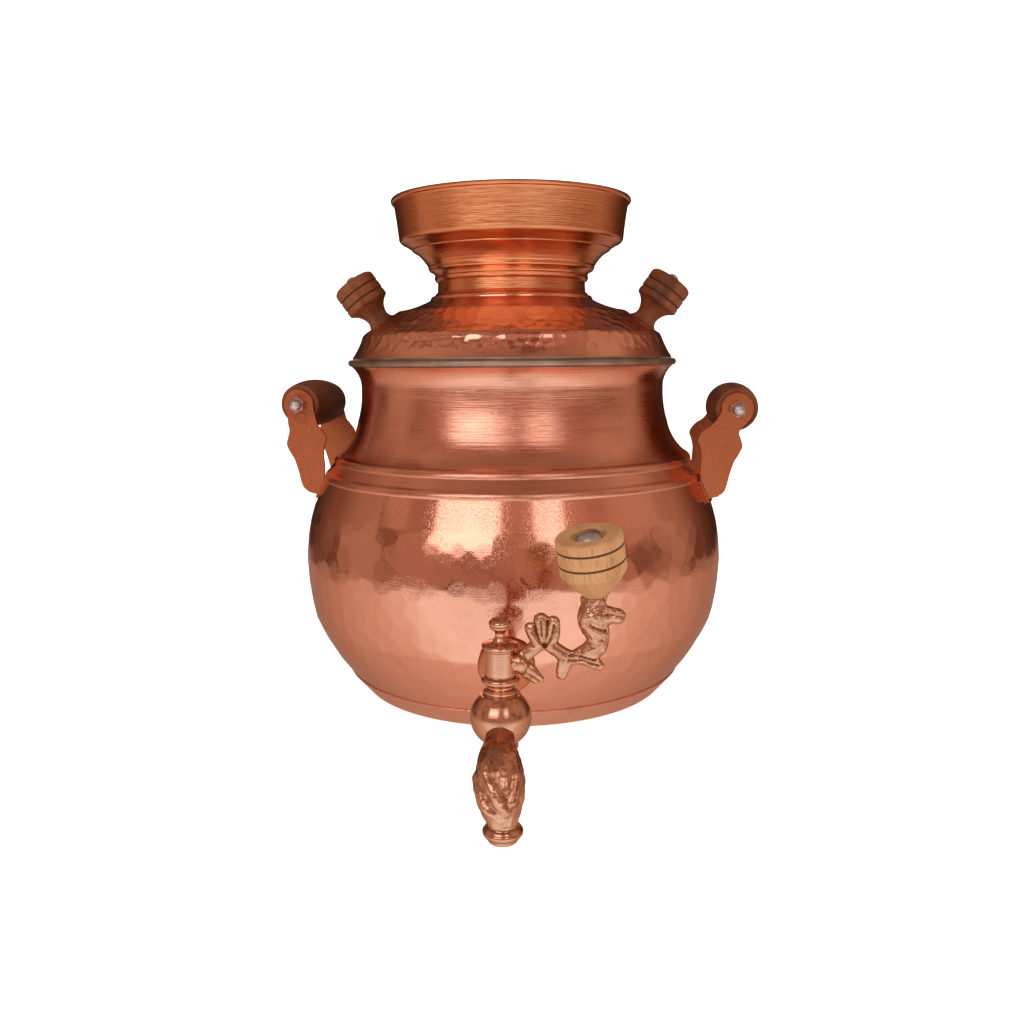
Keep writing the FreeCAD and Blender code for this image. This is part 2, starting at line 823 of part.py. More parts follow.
def plug_hole():
    """Return the tapered seat that the plug turns in."""
    low = d.tap_height - d.ball_radius - 2
    steps = [
        (0, low),
        (d.plug_low_radius + d.plug_gap, low),
        (d.plug_top_radius + d.plug_gap, d.collar_top),
        (d.plug_top_radius + d.plug_gap, d.collar_top + 2),
        (0, d.collar_top + 2),
    ]
    hole = turned("plug_hole", steps)
    hole.Placement = Placement(tap_point(d.tap_reach.value, 0), Rotation())
    return hole


def tap_body():
    """Return the cast tap: shank, ball with collars above and below, and the bent spout."""
    shank_place = along(-Y_AXIS, tap_point(d.shank_end.value, d.tap_height.value))
    shank = cylinder("tap_shank", d.shank_radius, d.tap_reach - d.shank_end, shank_place)
    collar_foot = d.tap_height - d.ball_radius - 0.8
    neck = d.collar_radius - 1.2
    steps = [
        (0, collar_foot),
        (d.collar_radius, collar_foot),
        (d.ball_radius - 5.2, collar_foot + 2.6),
        (d.ball_radius - 4.2, d.tap_height + 9.5, 12.7, 1),
        (neck, d.collar_top - 4.4),
        (d.collar_radius, d.collar_top - 3.2),
        (d.collar_radius, d.collar_top - 1.4, 1.2, 1),
        (neck + 0.5, d.collar_top),
        (0, d.collar_top),
    ]
    ball = turned("tap_ball", steps)
    ball.Placement = Placement(tap_point(d.tap_reach.value, 0), Rotation())
    spout = spout_tube("spout_outside", d.spout_radius.value, 4, 0)
    bulb = doc.addObject("Part::Sphere", "spout_bulb")
    bulb.setExpression("Radius", d.spout_bulb_radius.text)
    bulb.Placement = Placement(tap_point(d.spout_reach.value - 5, 27.5), Rotation())
    ring_place = Placement(tap_point(d.spout_reach.value, d.spout_mouth.value + 2.4), Rotation())
    ring = cylinder("spout_ring", d.spout_ring_radius, 3.6, ring_place)
    metal = fuse("tap_metal", [shank, ball, spout, bulb, ring])
    water_place = along(-Y_AXIS, tap_point(d.shank_end.value - 1, d.tap_height.value))
    inlet = cylinder("inlet_bore", d.water_radius, d.tap_reach - d.shank_end + 1, water_place)
    outlet = spout_tube("outlet_bore", d.water_radius.value, 1, 1)
    keep("tap_body", cut("tap_body", metal, [inlet, outlet, plug_hole()]))


# The tap key, which turns in the tap

def tap_axis(height):
    """Return a placement on the key's upright axis."""
    return Placement(tap_point(d.tap_reach.value, height), Rotation())


def tap_plug():
    """Return the tapered plug with its threaded tail, its barrel and its finial."""
    low = d.tap_height - d.ball_radius - 1.2
    taper = (d.plug_top_radius - d.plug_low_radius) / (d.collar_top - d.tap_height + d.ball_radius + 2)
    low_radius = d.plug_low_radius + taper * 0.8
    top = d.collar_top + 0.4
    barrel = d.barrel_radius
    ring = d.barrel_ring_radius
    steps = [
        (0, low - 6.0),
        (2.4, low - 6.0),
        (2.4, low),
        (low_radius, low),
        (d.plug_top_radius, top - 0.4),
        (d.plug_top_radius, top),
        (ring, top + 2.0),
        (ring, top + 4.4, 1.5, 1),
        (barrel, top + 5.6),
        (barrel, 73.0),
        (ring, 74.2),
        (ring, 75.8, 1.0, 1),
        (3.0, 77.2),
        (2.2, 80.6, 6.0, -1),
        (d.finial_radius, 82.4),
        (d.finial_radius, d.finial_top - 0.6),
        (d.finial_radius - 1.0, d.finial_top),
        (0, d.finial_top - 1.0),
    ]
    form = turned("plug_form", steps)
    form.Placement = tap_axis(0)
    port_start = tap_point(d.tap_reach.value, d.tap_height.value) - X_AXIS * 15
    port = cylinder("plug_port", d.water_radius, 30, along(X_AXIS, port_start))
    pin_place = lever_frame().multiply(along(X_AXIS, Vector(1, 0, d.lever_height.value)))
    pin_hole = cylinder("plug_pin_hole", 1.55, 10, pin_place)
    keep("tap_plug", cut("tap_plug", form, [port, pin_hole]))


def lever_frame():
    """Return the lever's upright plane, leaned a little towards the front."""
    lean = Rotation(Z_AXIS, -d.lever_lean.value)
    return Placement(tap_point(d.tap_reach.value, 0), lean)


def tap_lever():
    """Return the flat bird casting: a fanned tail, an arched belly and a raised head."""
    steps = [
        (6.9, 64.6),
        (10.8, 64.0),
        (13.0, 61.6),
        (18.4, 60.4),
        (19.4, 63.6, 2.4, 1),
        (15.5, 68.4),
        (24.4, 68.8, 4.8, -1),
        (24.4, 63.2),
        (29.0, 61.6, 2.6, 1),
        (30.8, 67.0),
        (34.2, 69.0),
        (44.2, 66.6),
        (44.8, 69.2, 1.6, 1),
        (41.4, 72.6),
        (46.2, 80.0, 13.0, 1),
        (47.0, 84.4),
        (52.4, 86.6),
        (51.0, 91.2, 3.2, 1),
        (45.6, 92.6),
        (44.6, 96.8),
        (35.0, 96.8),
        (34.8, 91.2),
        (33.2, 86.4, 6.0, 1),
        (37.6, 79.0),
        (27.6, 76.8, 6.0, -1),
        (25.8, 84.6),
        (24.8, 89.6, 3.4, 1),
        (20.6, 91.4),
        (14.8, 90.6, 3.6, 1),
        (12.0, 85.6),
        (13.6, 81.0, 3.4, 1),
        (14.0, 76.0),
        (8.6, 73.8),
        (6.9, 71.4),
    ]
    blade = padded("lever_form", "XZ_Plane", steps, d.lever_wall)
    blade.Placement = lever_frame()
    barrel = cylinder("lever_barrel_room", d.barrel_radius + 0.05, 20, tap_axis(60))
    pin_place = lever_frame().multiply(along(X_AXIS, Vector(1, 0, d.lever_height.value)))
    pin_hole = cylinder("lever_pin_hole", 1.55, 11, pin_place)
    screw_place = knob_place().multiply(Placement(Vector(0, 0, -12), Rotation()))
    screw_hole = cylinder("lever_screw_hole", d.small_screw_radius - 0.25, 16, screw_place)
    keep("tap_lever", cut("tap_lever", blade, [barrel, pin_hole, screw_hole]))


def lever_pin():
    """Return the pin that ties the lever to the barrel."""
    place = lever_frame().multiply(along(X_AXIS, Vector(1.5, 0, d.lever_height.value)))
    keep("lever_pin", cylinder("lever_pin", 1.5, 9.5, place))


def knob_place():
    """Return the tap knob's placement, leaning back towards the key's axis and to the front."""
    foot = lever_frame().multiply(Placement(Vector(d.knob_offset.value, 0, d.knob_foot.value), Rotation()))
    lean = Rotation(Y_AXIS, -d.knob_tilt.value).multiply(Rotation(X_AXIS, d.knob_nod.value))
    return foot.multiply(Placement(Vector(), lean))


def tap_knob():
    """Return the wooden knob: a tapered foot under a grooved drum with a sunk top."""
    length = d.knob_length
    radius = d.knob_radius
    deep = radius - d.knob_groove
    bore = d.small_screw_radius + 0.1
    steps = [
        (bore, 1.0),
        (4.8, 1.0),
        (radius, 9.5, 16.0, 1),
        (radius, length - 13.2),
        (deep, length - 12.4),
        (radius, length - 11.6),
        (radius, length - 6.8),
        (deep, length - 6.0),
        (radius, length - 5.2),
        (radius, length - 1.2),
        (radius - 1.2, length, 1.2, 1),
        (7.0, length),
        (6.6, length - 1.4),
        (bore, length - 1.4),
    ]
    knob = turned("tap_knob", steps)
    knob.Placement = knob_place()
    keep("tap_knob", knob)


def tap_knob_screw():
    """Return the screw that holds the knob on the lever."""
    screw = domed_screw("tap_knob_screw", 5.6, 3.2, d.small_screw_radius - 0.3, d.knob_length - 1.4 + 7.0)
    screw.Placement = knob_place().multiply(Placement(Vector(0, 0, d.knob_length.value - 1.35), Rotation()))
    keep("tap_knob_screw", screw)


def plug_washer():
    """Return the washer under the tap's ball."""
    low = d.tap_height - d.ball_radius - 1.2
    washer = turned("plug_washer", [(2.5, low - 1.2), (6.6, low - 1.2), (6.6, low - 0.1), (2.5, low - 0.1)])
    washer.Placement = tap_axis(0)
    keep("plug_washer", washer)


def plug_nut():
    """Return the nut that holds the plug down in its seat."""
    low = d.tap_height - d.ball_radius - 1.2
    flats = padded("plug_nut_form", "XY_Plane", hexagon(8.0), 3.6)
    flats.Placement = tap_axis(low.value - 1.3 - 1.8)
    thread = cylinder("plug_nut_thread", 2.45, 8, tap_axis(low.value - 7.5))
    keep("plug_nut", cut("plug_nut", flats, [thread]))


def make_model():
    """Make every sub-part."""
    belly_shell()
    neck_shell()
    base_pan()
    rim_roll()
    for side, frame in FRAMES.items():
        handle_bracket(side, frame)
        handle_rivets(side, frame)
        handle_bolt(side)
        handle_nut(side)
        handle_grip(side)
    lid_skirt()
    lid_dome()
    crown()
    for side in ("left", "right"):
        lid_knob(side)
        lid_knob_bolt(side)
        lid_knob_washer(side)
        lid_knob_nut(side)
    tap_boss()
    tap_flange()
    tap_inner_saddle()
    tap_locknut()
    tap_body()
    tap_plug()
    tap_lever()
    lever_pin()
    tap_knob()
    tap_knob_screw()
    plug_washer()
    plug_nut()


def check_model():
    """Stop if any object failed or any sub-part is not a sound solid."""
    for item in doc.Objects:
        if "Invalid" in item.State or "Error" in item.State:
            raise RuntimeError("%s failed: %s" % (item.Name, item.State))
    for name, solid in nodes.items():
        shape = solid.Shape
        if shape.isNull() or not shape.isValid() or not shape.Solids:
            raise RuntimeError("%s has no sound solid" % name)


def write_parts():
    """Write each sub-part to its own STEP file."""
    os.makedirs("parts", exist_ok=True)
    for name, solid in nodes.items():
        solid.Shape.exportStep("parts/%s.step" % name)
        print(name, len(solid.Shape.Solids), round(solid.Shape.Volume, 1))


make_model()
doc.recompute()
check_model()
write_parts()
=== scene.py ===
"""Looks of a hammered copper hot-water urn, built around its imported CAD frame.

Lengths are in millimetres inside the helper functions and are scaled to metres when a mesh is made.
"""
import math

import bmesh
import bpy
import numpy as np
from mathutils import Matrix, Quaternion, Vector, noise


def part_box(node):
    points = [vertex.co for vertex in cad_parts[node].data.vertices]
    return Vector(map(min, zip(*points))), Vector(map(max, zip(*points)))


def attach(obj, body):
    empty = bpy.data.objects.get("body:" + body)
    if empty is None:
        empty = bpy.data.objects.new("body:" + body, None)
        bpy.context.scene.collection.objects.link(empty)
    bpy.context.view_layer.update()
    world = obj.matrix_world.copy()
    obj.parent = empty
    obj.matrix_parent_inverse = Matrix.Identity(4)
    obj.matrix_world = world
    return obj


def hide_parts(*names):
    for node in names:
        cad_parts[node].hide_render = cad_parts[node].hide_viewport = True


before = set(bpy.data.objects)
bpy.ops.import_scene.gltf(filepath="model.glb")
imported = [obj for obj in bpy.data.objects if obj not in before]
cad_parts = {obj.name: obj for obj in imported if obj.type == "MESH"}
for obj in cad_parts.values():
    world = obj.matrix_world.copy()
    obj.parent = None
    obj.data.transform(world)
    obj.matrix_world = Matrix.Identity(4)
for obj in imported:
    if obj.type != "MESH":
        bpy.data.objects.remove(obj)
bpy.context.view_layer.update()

MM = 0.001
FULL_TURN = 2 * math.pi


def node_middle(node):
    """Return the middle of a CAD node's box, in millimetres."""
    low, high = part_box(node)
    return (low + high) / 2 / MM


def node_high(node):
    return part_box(node)[1] / MM


def node_low(node):
    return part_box(node)[0] / MM


RIM_LOW = node_low("rim_roll").z
RIM_TOP = node_high("rim_roll").z
LID_SEAT = node_low("lid_dome").z
LID_TOP = node_low("crown").z
CROWN_TOP = node_high("crown").z
FOOT_TOP = node_high("base_pan").z
FOOT_TOP_RADIUS = node_high("base_pan").x
TAP_HEIGHT = node_middle("tap_flange").z
KEY_REACH = -node_middle("plug_washer").y
SHEET = 1.2


# Outlines

def arc(start, end, radius, turn, spacing):
    """Return points along the short arc from start to end, without the start."""
    chord = end - start
    length = np.hypot(*chord)
    rise = math.sqrt(max(radius ** 2 - (length / 2) ** 2, 0.0))
    left = np.array([-chord[1], chord[0]]) / length
    centre = start + chord / 2 + left * rise * turn
    first = math.atan2(*(start - centre)[::-1])
    sweep = 2 * math.asin(min(length / 2 / radius, 1.0)) * turn
    count = max(2, int(radius * abs(sweep) / spacing + 0.5))
    angles = first + sweep * np.arange(1, count + 1) / count
    return centre + radius * np.column_stack([np.cos(angles), np.sin(angles)])


def trace(steps, spacing=1.2):
    """Return the points of an outline of lines (x, y) and arcs (x, y, radius, turn)."""
    points = [np.array(steps[0][:2], float)]
    for step in steps[1:]:
        start = points[-1]
        end = np.array(step[:2], float)
        if len(step) == 4:
            points.extend(arc(start, end, step[2], step[3], spacing))
            continue
        count = max(1, int(np.hypot(*(end - start)) / spacing + 0.5))
        points.extend(start + (end - start) * k / count for k in range(1, count + 1))
    return np.array(points)


def outline_normals(points, closed):
    """Return the outward normal at each point of a (radius, height) outline that runs upwards."""
    if closed:
        ahead = np.roll(points, -1, axis=0) - points
        behind = points - np.roll(points, 1, axis=0)
    else:
        ahead = np.diff(points, axis=0, append=points[-1:])
        ahead[-1] = ahead[-2]
        behind = np.diff(points, axis=0, prepend=points[:1])
        behind[0] = behind[1]
    ahead /= np.maximum(np.hypot(ahead[:, 0], ahead[:, 1]), 1e-9)[:, None]
    behind /= np.maximum(np.hypot(behind[:, 0], behind[:, 1]), 1e-9)[:, None]
    along = ahead + behind
    along /= np.maximum(np.hypot(along[:, 0], along[:, 1]), 1e-9)[:, None]
    return np.column_stack([along[:, 1], -along[:, 0]])


def run_length(points):
    """Return each outline point's distance along the outline."""
    steps = np.hypot(*np.diff(points, axis=0).T)
    return np.concatenate([[0.0], np.cumsum(steps)])


# Meshes

def new_piece(name, vertices, faces, body, material, place=None, sharp=40.0):
    """Make one piece from vertices in millimetres, put it in place and let it ride on a body."""
    mesh = bpy.data.meshes.new(name)
    mesh.from_pydata([tuple(v) for v in np.asarray(vertices) * MM], [], faces)
    mesh.update()
    return finish_piece(name, mesh, body, material, place, sharp)


def finish_piece(name, mesh, body, material, place=None, sharp=40.0):
    """Clean a mesh, shade it and link it as a piece on a body."""
    work = bmesh.new()
    work.from_mesh(mesh)
    bmesh.ops.remove_doubles(work, verts=work.verts, dist=1e-6)
    bmesh.ops.recalc_face_normals(work, faces=work.faces)
    work.to_mesh(mesh)
    work.free()
    mesh.polygons.foreach_set("use_smooth", [True] * len(mesh.polygons))
    mesh.set_sharp_from_angle(angle=math.radians(sharp))
    mesh.materials.append(material)
    piece = bpy.data.objects.new(name, mesh)
    bpy.context.scene.collection.objects.link(piece)
    if place is not None:
        piece.matrix_world = place
    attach(piece, body)
    return piece


def ring_faces(rings, segments, closed):
    """Return the quads between neighbouring rings of a turned mesh."""
    faces = []
    last = rings if closed else rings - 1
    for ring in range(last):
        low = ring * segments
        high = (ring + 1) % rings * segments
        for k in range(segments):
            after = (k + 1) % segments
            faces.append((low + k, low + after, high + after, high + k))
    return faces


def lathe(name, outline, body, material, segments=96, closed=True, relief=None, place=None, sharp=40.0):
    """Turn a (radius, height) outline about Z; relief gives a height field over the surface."""
    points = np.asarray(outline, float)
    turn = np.arange(segments) * FULL_TURN / segments
    radius = np.repeat(points[:, :1], segments, axis=1)
    height = np.repeat(points[:, 1:], segments, axis=1)
    if relief is not None:
        normals = outline_normals(points, closed)
        rise = relief(points, turn)
        radius = radius + normals[:, :1] * rise
        height = height + normals[:, 1:] * rise
    vertices = np.stack([radius * np.cos(turn), radius * np.sin(turn), height], axis=-1).reshape(-1, 3)
    faces = ring_faces(len(points), segments, closed)
    return new_piece(name, vertices, faces, body, material, place, sharp)


def hammer_marks(points, turn, pitch, hollow, tilt, seed):
    """Return the height of a hammered skin: one nearly flat facet for each blow, sharp ridges between.

    Blows stand in rings a little under one pitch apart. hollow is the depth for each square
    millimetre of distance from a blow's middle and tilt is the most that a facet may slope.
    """
    rng = np.random.default_rng(seed)
    run = run_length(points)
    radius = points[:, 0]
    row_pitch = pitch * 0.90
    lowest = np.full((len(run), len(turn)), hollow * pitch ** 2)
    for row in range(-1, int(run[-1] / row_pitch) + 3):
        middle = row * row_pitch
        around = np.interp(middle, run, radius)
        count = max(6, int(FULL_TURN * around / pitch + 0.5))
        offset = rng.uniform(0, 1)
        shift = rng.uniform(-0.12, 0.12, count)
        climb = rng.uniform(-0.08, 0.08, count) * pitch
        lean_across, lean_up = rng.uniform(-tilt, tilt, (2, count))
        rings = np.where(np.abs(run - middle) < 1.7 * pitch)[0]
        if not len(rings):
            continue
        base = np.floor(turn / FULL_TURN * count - offset).astype(int)
        for step in (-1, 0, 1, 2):
            blow = (base + step) % count
            centre = (base + step + offset + shift[blow]) / count * FULL_TURN
            across = radius[rings, None] * (turn - centre)[None, :]
            upward = run[rings, None] - (middle + climb[blow])[None, :]
            facet = hollow * (across ** 2 + upward ** 2)
            facet += lean_across[blow][None, :] * across + lean_up[blow][None, :] * upward
            lowest[rings] = np.minimum(lowest[rings], facet)
    return lowest


def fade(run, start, end, soft=6.0):
    """Return 1 between two distances along an outline and 0 outside them, with soft ends."""
    rise = np.clip((run - start) / soft, 0, 1)
    fall = np.clip((end - run) / soft, 0, 1)
    blend = np.minimum(rise, fall)
    return blend * blend * (3 - 2 * blend)


# Materials

class Nodes:
    """A short way to write a material's node tree."""

    def __init__(self, name):
        self.material = bpy.data.materials.new(name)
        self.material.use_nodes = True
        self.tree = self.material.node_tree
        self.shader = self.tree.nodes["Principled BSDF"]

    def add(self, kind, inputs=None, **settings):
        node = self.tree.nodes.new(kind)
        for key, value in settings.items():
            setattr(node, key, value)
        for key, value in (inputs or {}).items():
            self.set(node, key, value)
        return node

    def set(self, node, key, value):
        if isinstance(value, bpy.types.NodeSocket):
            self.tree.links.new(value, node.inputs[key])
        else:
            node.inputs[key].default_value = value

    def coordinates(self, scale=(1, 1, 1)):
        """Return object coordinates, stretched by scale."""
        place = self.add("ShaderNodeTexCoord").outputs["Object"]
        return self.add("ShaderNodeMapping", {"Vector": place, "Scale": scale}).outputs["Vector"]

    def noise(self, scale, stretch=(1, 1, 1), detail=4.0, rough=0.55, distortion=0.0):
        texture = self.add("ShaderNodeTexNoise", {
            "Vector": self.coordinates(stretch),
            "Scale": scale,
            "Detail": detail,
            "Roughness": rough,
            "Distortion": distortion,
        })
        return texture.outputs["Fac"]

    def ramp(self, factor, stops):
        """Return a colour ramp's output; stops are (position, colour or grey value)."""
        node = self.add("ShaderNodeValToRGB", {"Fac": factor})
        elements = node.color_ramp.elements
        while len(elements) < len(stops):
            elements.new(0.5)
        for element, (position, colour) in zip(elements, stops):
            element.position = position
            grey = isinstance(colour, (int, float))
            element.color = (colour, colour, colour, 1) if grey else (*colour, 1)
        return node.outputs["Color"]

    def mix(self, factor, first, second, mode="MIX"):
        node = self.add("ShaderNodeMix", data_type="RGBA", blend_type=mode)
        self.set(node, 0, factor)
        self.set(node, 6, first if isinstance(first, bpy.types.NodeSocket) else (*first, 1))
        self.set(node, 7, second if isinstance(second, bpy.types.NodeSocket) else (*second, 1))
        return node.outputs[2]

    def bump(self, height, distance, strength=1.0, below=None):
        inputs = {"Height": height, "Distance": distance, "Strength": strength}
        if below is not None:
            inputs["Normal"] = below
        return self.add("ShaderNodeBump", inputs).outputs["Normal"]

    def finish(self, **inputs):
        for key, value in inputs.items():
            self.set(self.shader, key.replace("_", " "), value)
        return self.material


def copper(name, tones, gloss, line_depth=0.0, pit_depth=0.0, stain=0.25):
    """Return polished copper: drifting colour, uneven gloss, spun lines and small pits."""
    n = Nodes(name)
    drift = n.ramp(n.noise(9.0, detail=3.0), [(0.3, tones[0]), (0.7, tones[1])])
    spots = n.ramp(n.noise(55.0, detail=6.0, rough=0.65), [(0.56, 0.0), (0.78, 1.0)])
    shade = n.add("ShaderNodeMath", {0: spots, 1: stain}, operation="MULTIPLY").outputs[0]
    colour = n.mix(shade, drift, tones[2])
    haze = n.ramp(n.noise(26.0, detail=5.0, rough=0.6), [(0.25, gloss[0]), (0.8, gloss[1])])
    lines = n.noise(1.0, stretch=(14.0, 14.0, 1900.0), detail=3.0, rough=0.7)
    normal = n.bump(lines, 0.0004, line_depth) if line_depth else None
    if pit_depth:
        pits = n.ramp(n.noise(900.0, detail=3.0, rough=0.7), [(0.30, 0.0), (0.48, 1.0)])
        normal = n.bump(pits, 0.0002, pit_depth, normal)
    inputs = {"Base_Color": colour, "Metallic": 1.0, "Roughness": haze}
    if normal is not None:
        inputs["Normal"] = normal
    return n.finish(**inputs)


PINK = ((0.83, 0.41, 0.29), (0.88, 0.46, 0.33), (0.50, 0.15, 0.08))
GOLD = ((0.78, 0.31, 0.14), (0.84, 0.38, 0.19), (0.42, 0.13, 0.05))
BROWN = ((0.50, 0.15, 0.065), (0.62, 0.22, 0.10), (0.20, 0.05, 0.02))


def cast_bronze():
    """Return the tap's polished casting with random stains, bright on its ridges and darkened in its hollows
    by painted shade.
    """
    n = Nodes("tap_bronze_look")
    drift = n.ramp(n.noise(60.0, detail=4.0), [(0.3, (0.66, 0.36, 0.23)), (0.7, (0.76, 0.46, 0.30))])
    # Painted shade: pointiness finds the hollows, and the colour is darkened there, where shade falls.
    shade_pointiness = n.add("ShaderNodeNewGeometry").outputs["Pointiness"]
    hollow = n.ramp(shade_pointiness, [(0.44, 1.0), (0.50, 0.0)])
    patches = n.ramp(n.noise(210.0, detail=5.0, rough=0.7), [(0.48, 0.0), (0.72, 0.75)])
    stained = n.mix(patches, drift, (0.36, 0.13, 0.06))
    # The stained colour, with painted shade darkening the hollows.
    stains_and_painted_shade = n.mix(hollow, stained, (0.16, 0.055, 0.028))
    haze = n.ramp(n.noise(120.0, detail=5.0, rough=0.65), [(0.3, 0.10), (0.8, 0.30)])
    rough = n.ramp(n.noise(620.0, detail=4.0, rough=0.6), [(0.3, 0.0), (0.7, 1.0)])
    return n.finish(Base_Color=stains_and_painted_shade, Metallic=1.0, Roughness=haze, Normal=n.bump(rough, 0.0002, 0.35))


def turned_bronze():
    """Return the smooth turned parts of the tap, with painted shade darkening the creases where rings meet.
    """
    n = Nodes("turned_bronze_look")
    drift = n.ramp(n.noise(60.0, detail=4.0), [(0.3, (0.68, 0.36, 0.24)), (0.7, (0.77, 0.46, 0.31))])
    spots = n.ramp(n.noise(420.0, detail=4.0, rough=0.7), [(0.64, 0.0), (0.76, 1.0)])
    stained = n.mix(spots, drift, (0.25, 0.09, 0.04))
    # Painted shade: pointiness finds the creases where rings meet, and the stained colour is darkened there.
    shade_pointiness = n.add("ShaderNodeNewGeometry").outputs["Pointiness"]
    colour = n.mix(n.ramp(shade_pointiness, [(0.40, 1.0), (0.49, 0.0)]), stained, (0.16, 0.055, 0.028))
    haze = n.ramp(n.noise(150.0, detail=5.0, rough=0.65), [(0.3, 0.08), (0.8, 0.24)])
    lines = n.noise(1.0, stretch=(60.0, 60.0, 2600.0), detail=2.0)
    return n.finish(Base_Color=colour, Metallic=1.0, Roughness=haze, Normal=n.bump(lines, 0.0002, 0.25))


def tin():
    """Return dull hot-wiped tin."""
    n = Nodes("tinned_rim_look")
    drift = n.ramp(n.noise(70.0, detail=6.0), [(0.3, (0.30, 0.23, 0.17)), (0.72, (0.50, 0.42, 0.35))])
    haze = n.ramp(n.noise(200.0, detail=4.0), [(0.3, 0.32), (0.7, 0.5)])
    dents = n.bump(n.noise(700.0), 0.0003, 0.5)
    return n.finish(Base_Color=drift, Metallic=1.0, Roughness=haze, Normal=dents)


def zinc():
    """Return zinc-plated steel."""
    n = Nodes("zinc_steel_look")
    drift = n.ramp(n.noise(400.0, detail=4.0), [(0.3, (0.52, 0.54, 0.55)), (0.7, (0.72, 0.75, 0.76))])
    haze = n.ramp(n.noise(700.0), [(0.3, 0.28), (0.7, 0.44)])
    grain = n.bump(n.noise(1500.0), 0.0001, 0.4)
    return n.finish(Base_Color=drift, Metallic=1.0, Roughness=haze, Normal=grain)


def wood(name, light, dark, rings=90.0, gloss=0.42, burnt=None):
    """Return turned wood with its grain along local Z; burnt holds the heights of scorched grooves."""
    n = Nodes(name)
    wander = n.noise(22.0, stretch=(1, 1, 0.25), detail=3.0)
    where = n.coordinates((rings, rings * 0.6, rings * 0.09))
    swirl = n.add("ShaderNodeTexNoise", {"Vector": where, "Scale": 1.0, "Detail": 5.0, "Distortion": 0.8})
    grain = n.ramp(swirl.outputs["Fac"], [(0.34, dark), (0.56, light)])
    pores = n.ramp(n.noise(1.0, stretch=(2600, 2600, 190), detail=3.0), [(0.30, 0.0), (0.46, 1.0)])
    poreless = n.mix(0.45, (1, 1, 1), pores)
    colour = n.mix(1.0, grain, poreless, "MULTIPLY")
    if burnt:
        height = n.add("ShaderNodeSeparateXYZ", {"Vector": n.coordinates()}).outputs["Z"]
        for groove in burnt:
            away = n.add("ShaderNodeMath", {0: height, 1: groove * MM}, operation="SUBTRACT").outputs[0]
            near = n.add("ShaderNodeMath", {0: away}, operation="ABSOLUTE").outputs[0]
            edge = n.add("ShaderNodeMath", {0: near, 1: 0.0006}, operation="DIVIDE").outputs[0]
            colour = n.mix(n.ramp(edge, [(0.55, 1.0), (1.0, 0.0)]), colour, (0.085, 0.036, 0.016))
    haze = n.ramp(wander, [(0.3, gloss - 0.07), (0.7, gloss + 0.10)])
    normal = n.bump(pores, 0.0002, 0.5)
    return n.finish(Base_Color=colour, Roughness=haze, Normal=normal, Specular_IOR_Level=0.18)


def fibre():
    """Return the red fibre of the sealing saddle."""
    n = Nodes("fibre_look")
    drift = n.ramp(n.noise(500.0), [(0.3, (0.20, 0.06, 0.04)), (0.7, (0.32, 0.12, 0.08))])
    return n.finish(Base_Color=drift, Roughness=0.8)


BODY_COPPER = copper("body_copper_look", PINK, (0.05, 0.11), 0.05, 0.10)
NECK_COPPER = copper("neck_copper_look", PINK, (0.08, 0.16), 0.30, 0.12)
LID_COPPER = copper("lid_copper_look", PINK, (0.08, 0.16), 0.06, 0.10)
WORN = ((0.80, 0.38, 0.26), (0.90, 0.52, 0.40), BROWN[2])
FOOT_COPPER = copper("foot_copper_look", WORN, (0.28, 0.46), 0.2, 0.9, 0.45)
CROWN_COPPER = copper("crown_copper_look", GOLD, (0.10, 0.20), 0.45, 0.05)
HANDLE_COPPER = copper("handle_copper_look", BROWN, (0.26, 0.42), 0.0, 0.35, 0.6)
CAST = cast_bronze()
TURNED = turned_bronze()
TIN = tin()
ZINC = zinc()
FIBRE = fibre()
GRIP_WOOD = wood("grip_wood_look", (0.150, 0.040, 0.012), (0.052, 0.013, 0.005), 70.0, 0.50)
WALNUT = wood("walnut_look", (0.175, 0.048, 0.014), (0.080, 0.021, 0.007), 110.0, 0.50, (17.8, 23.2))
BEECH = wood("beech_look", (0.40, 0.205, 0.085), (0.33, 0.155, 0.060), 120.0, 0.45, (15.4, 21.6))


# The vessel

BELLY = [
    (FOOT_TOP_RADIUS, FOOT_TOP),
    (118.3, 44.0, 130.0, 1),
    (122.2, 76.0, 138.0, 1),
    (117.0, 108.0, 102.0, 1),
    (110.4, 123.3),
]
NECK = [
    (110.4, 123.3),
    (108.5, 127.7, 3.6, 1),
    (104.6, 132.8),
    (101.9, 137.2, 3.6, 1),
    (90.6, 156.0, 31.5, -1),
    (88.0, 174.0, 55.0, -1),
    (93.2, RIM_LOW, 15.3, -1),
]


def with_inside(skin, shift, spacing=4.0):
    """Close a skin with the same outline, moved by shift and thinned out, on its inside."""
    run = run_length(skin)
    count = max(3, int(run[-1] / spacing))
    marks = np.linspace(run[-1], 0, count)
    inner = np.column_stack([np.interp(marks, run, skin[:, 0]), np.interp(marks, run, skin[:, 1])])
    return np.vstack([skin, inner + np.array(shift)])


def skin_relief(skin, pitch, hollow, tilt, start, end, seed):
    """Return a relief for a closed outline whose first points are the hammered skin.

    The hammering lies between the distances start and end along the skin.
    """
    def relief(points, turn):
        rise = np.zeros((len(points), len(turn)))
        marks = hammer_marks(skin, turn, pitch, hollow, tilt, seed)
        share = fade(run_length(skin), start, end)[:, None]
        rise[:len(skin)] = (marks - marks.mean()) * share
        return rise
    return relief


def make_vessel():
    """Make the hammered belly and the smooth neck, each with its inner wall."""
    belly = trace(BELLY, 1.15)
    relief = skin_relief(belly, pitch=7.2, hollow=0.0048, tilt=0.042, start=6.0, end=103.0, seed=11)
    belly_piece = lathe("body_belly", with_inside(belly, (-SHEET, 0)), "vessel", BODY_COPPER,
                        segments=780, relief=relief)
    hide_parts("belly_shell")
    neck = trace(NECK, 0.9)
    neck_piece = lathe("body_neck", with_inside(neck, (-SHEET, 0)), "vessel", NECK_COPPER,
                       segments=360)
    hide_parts("neck_shell")


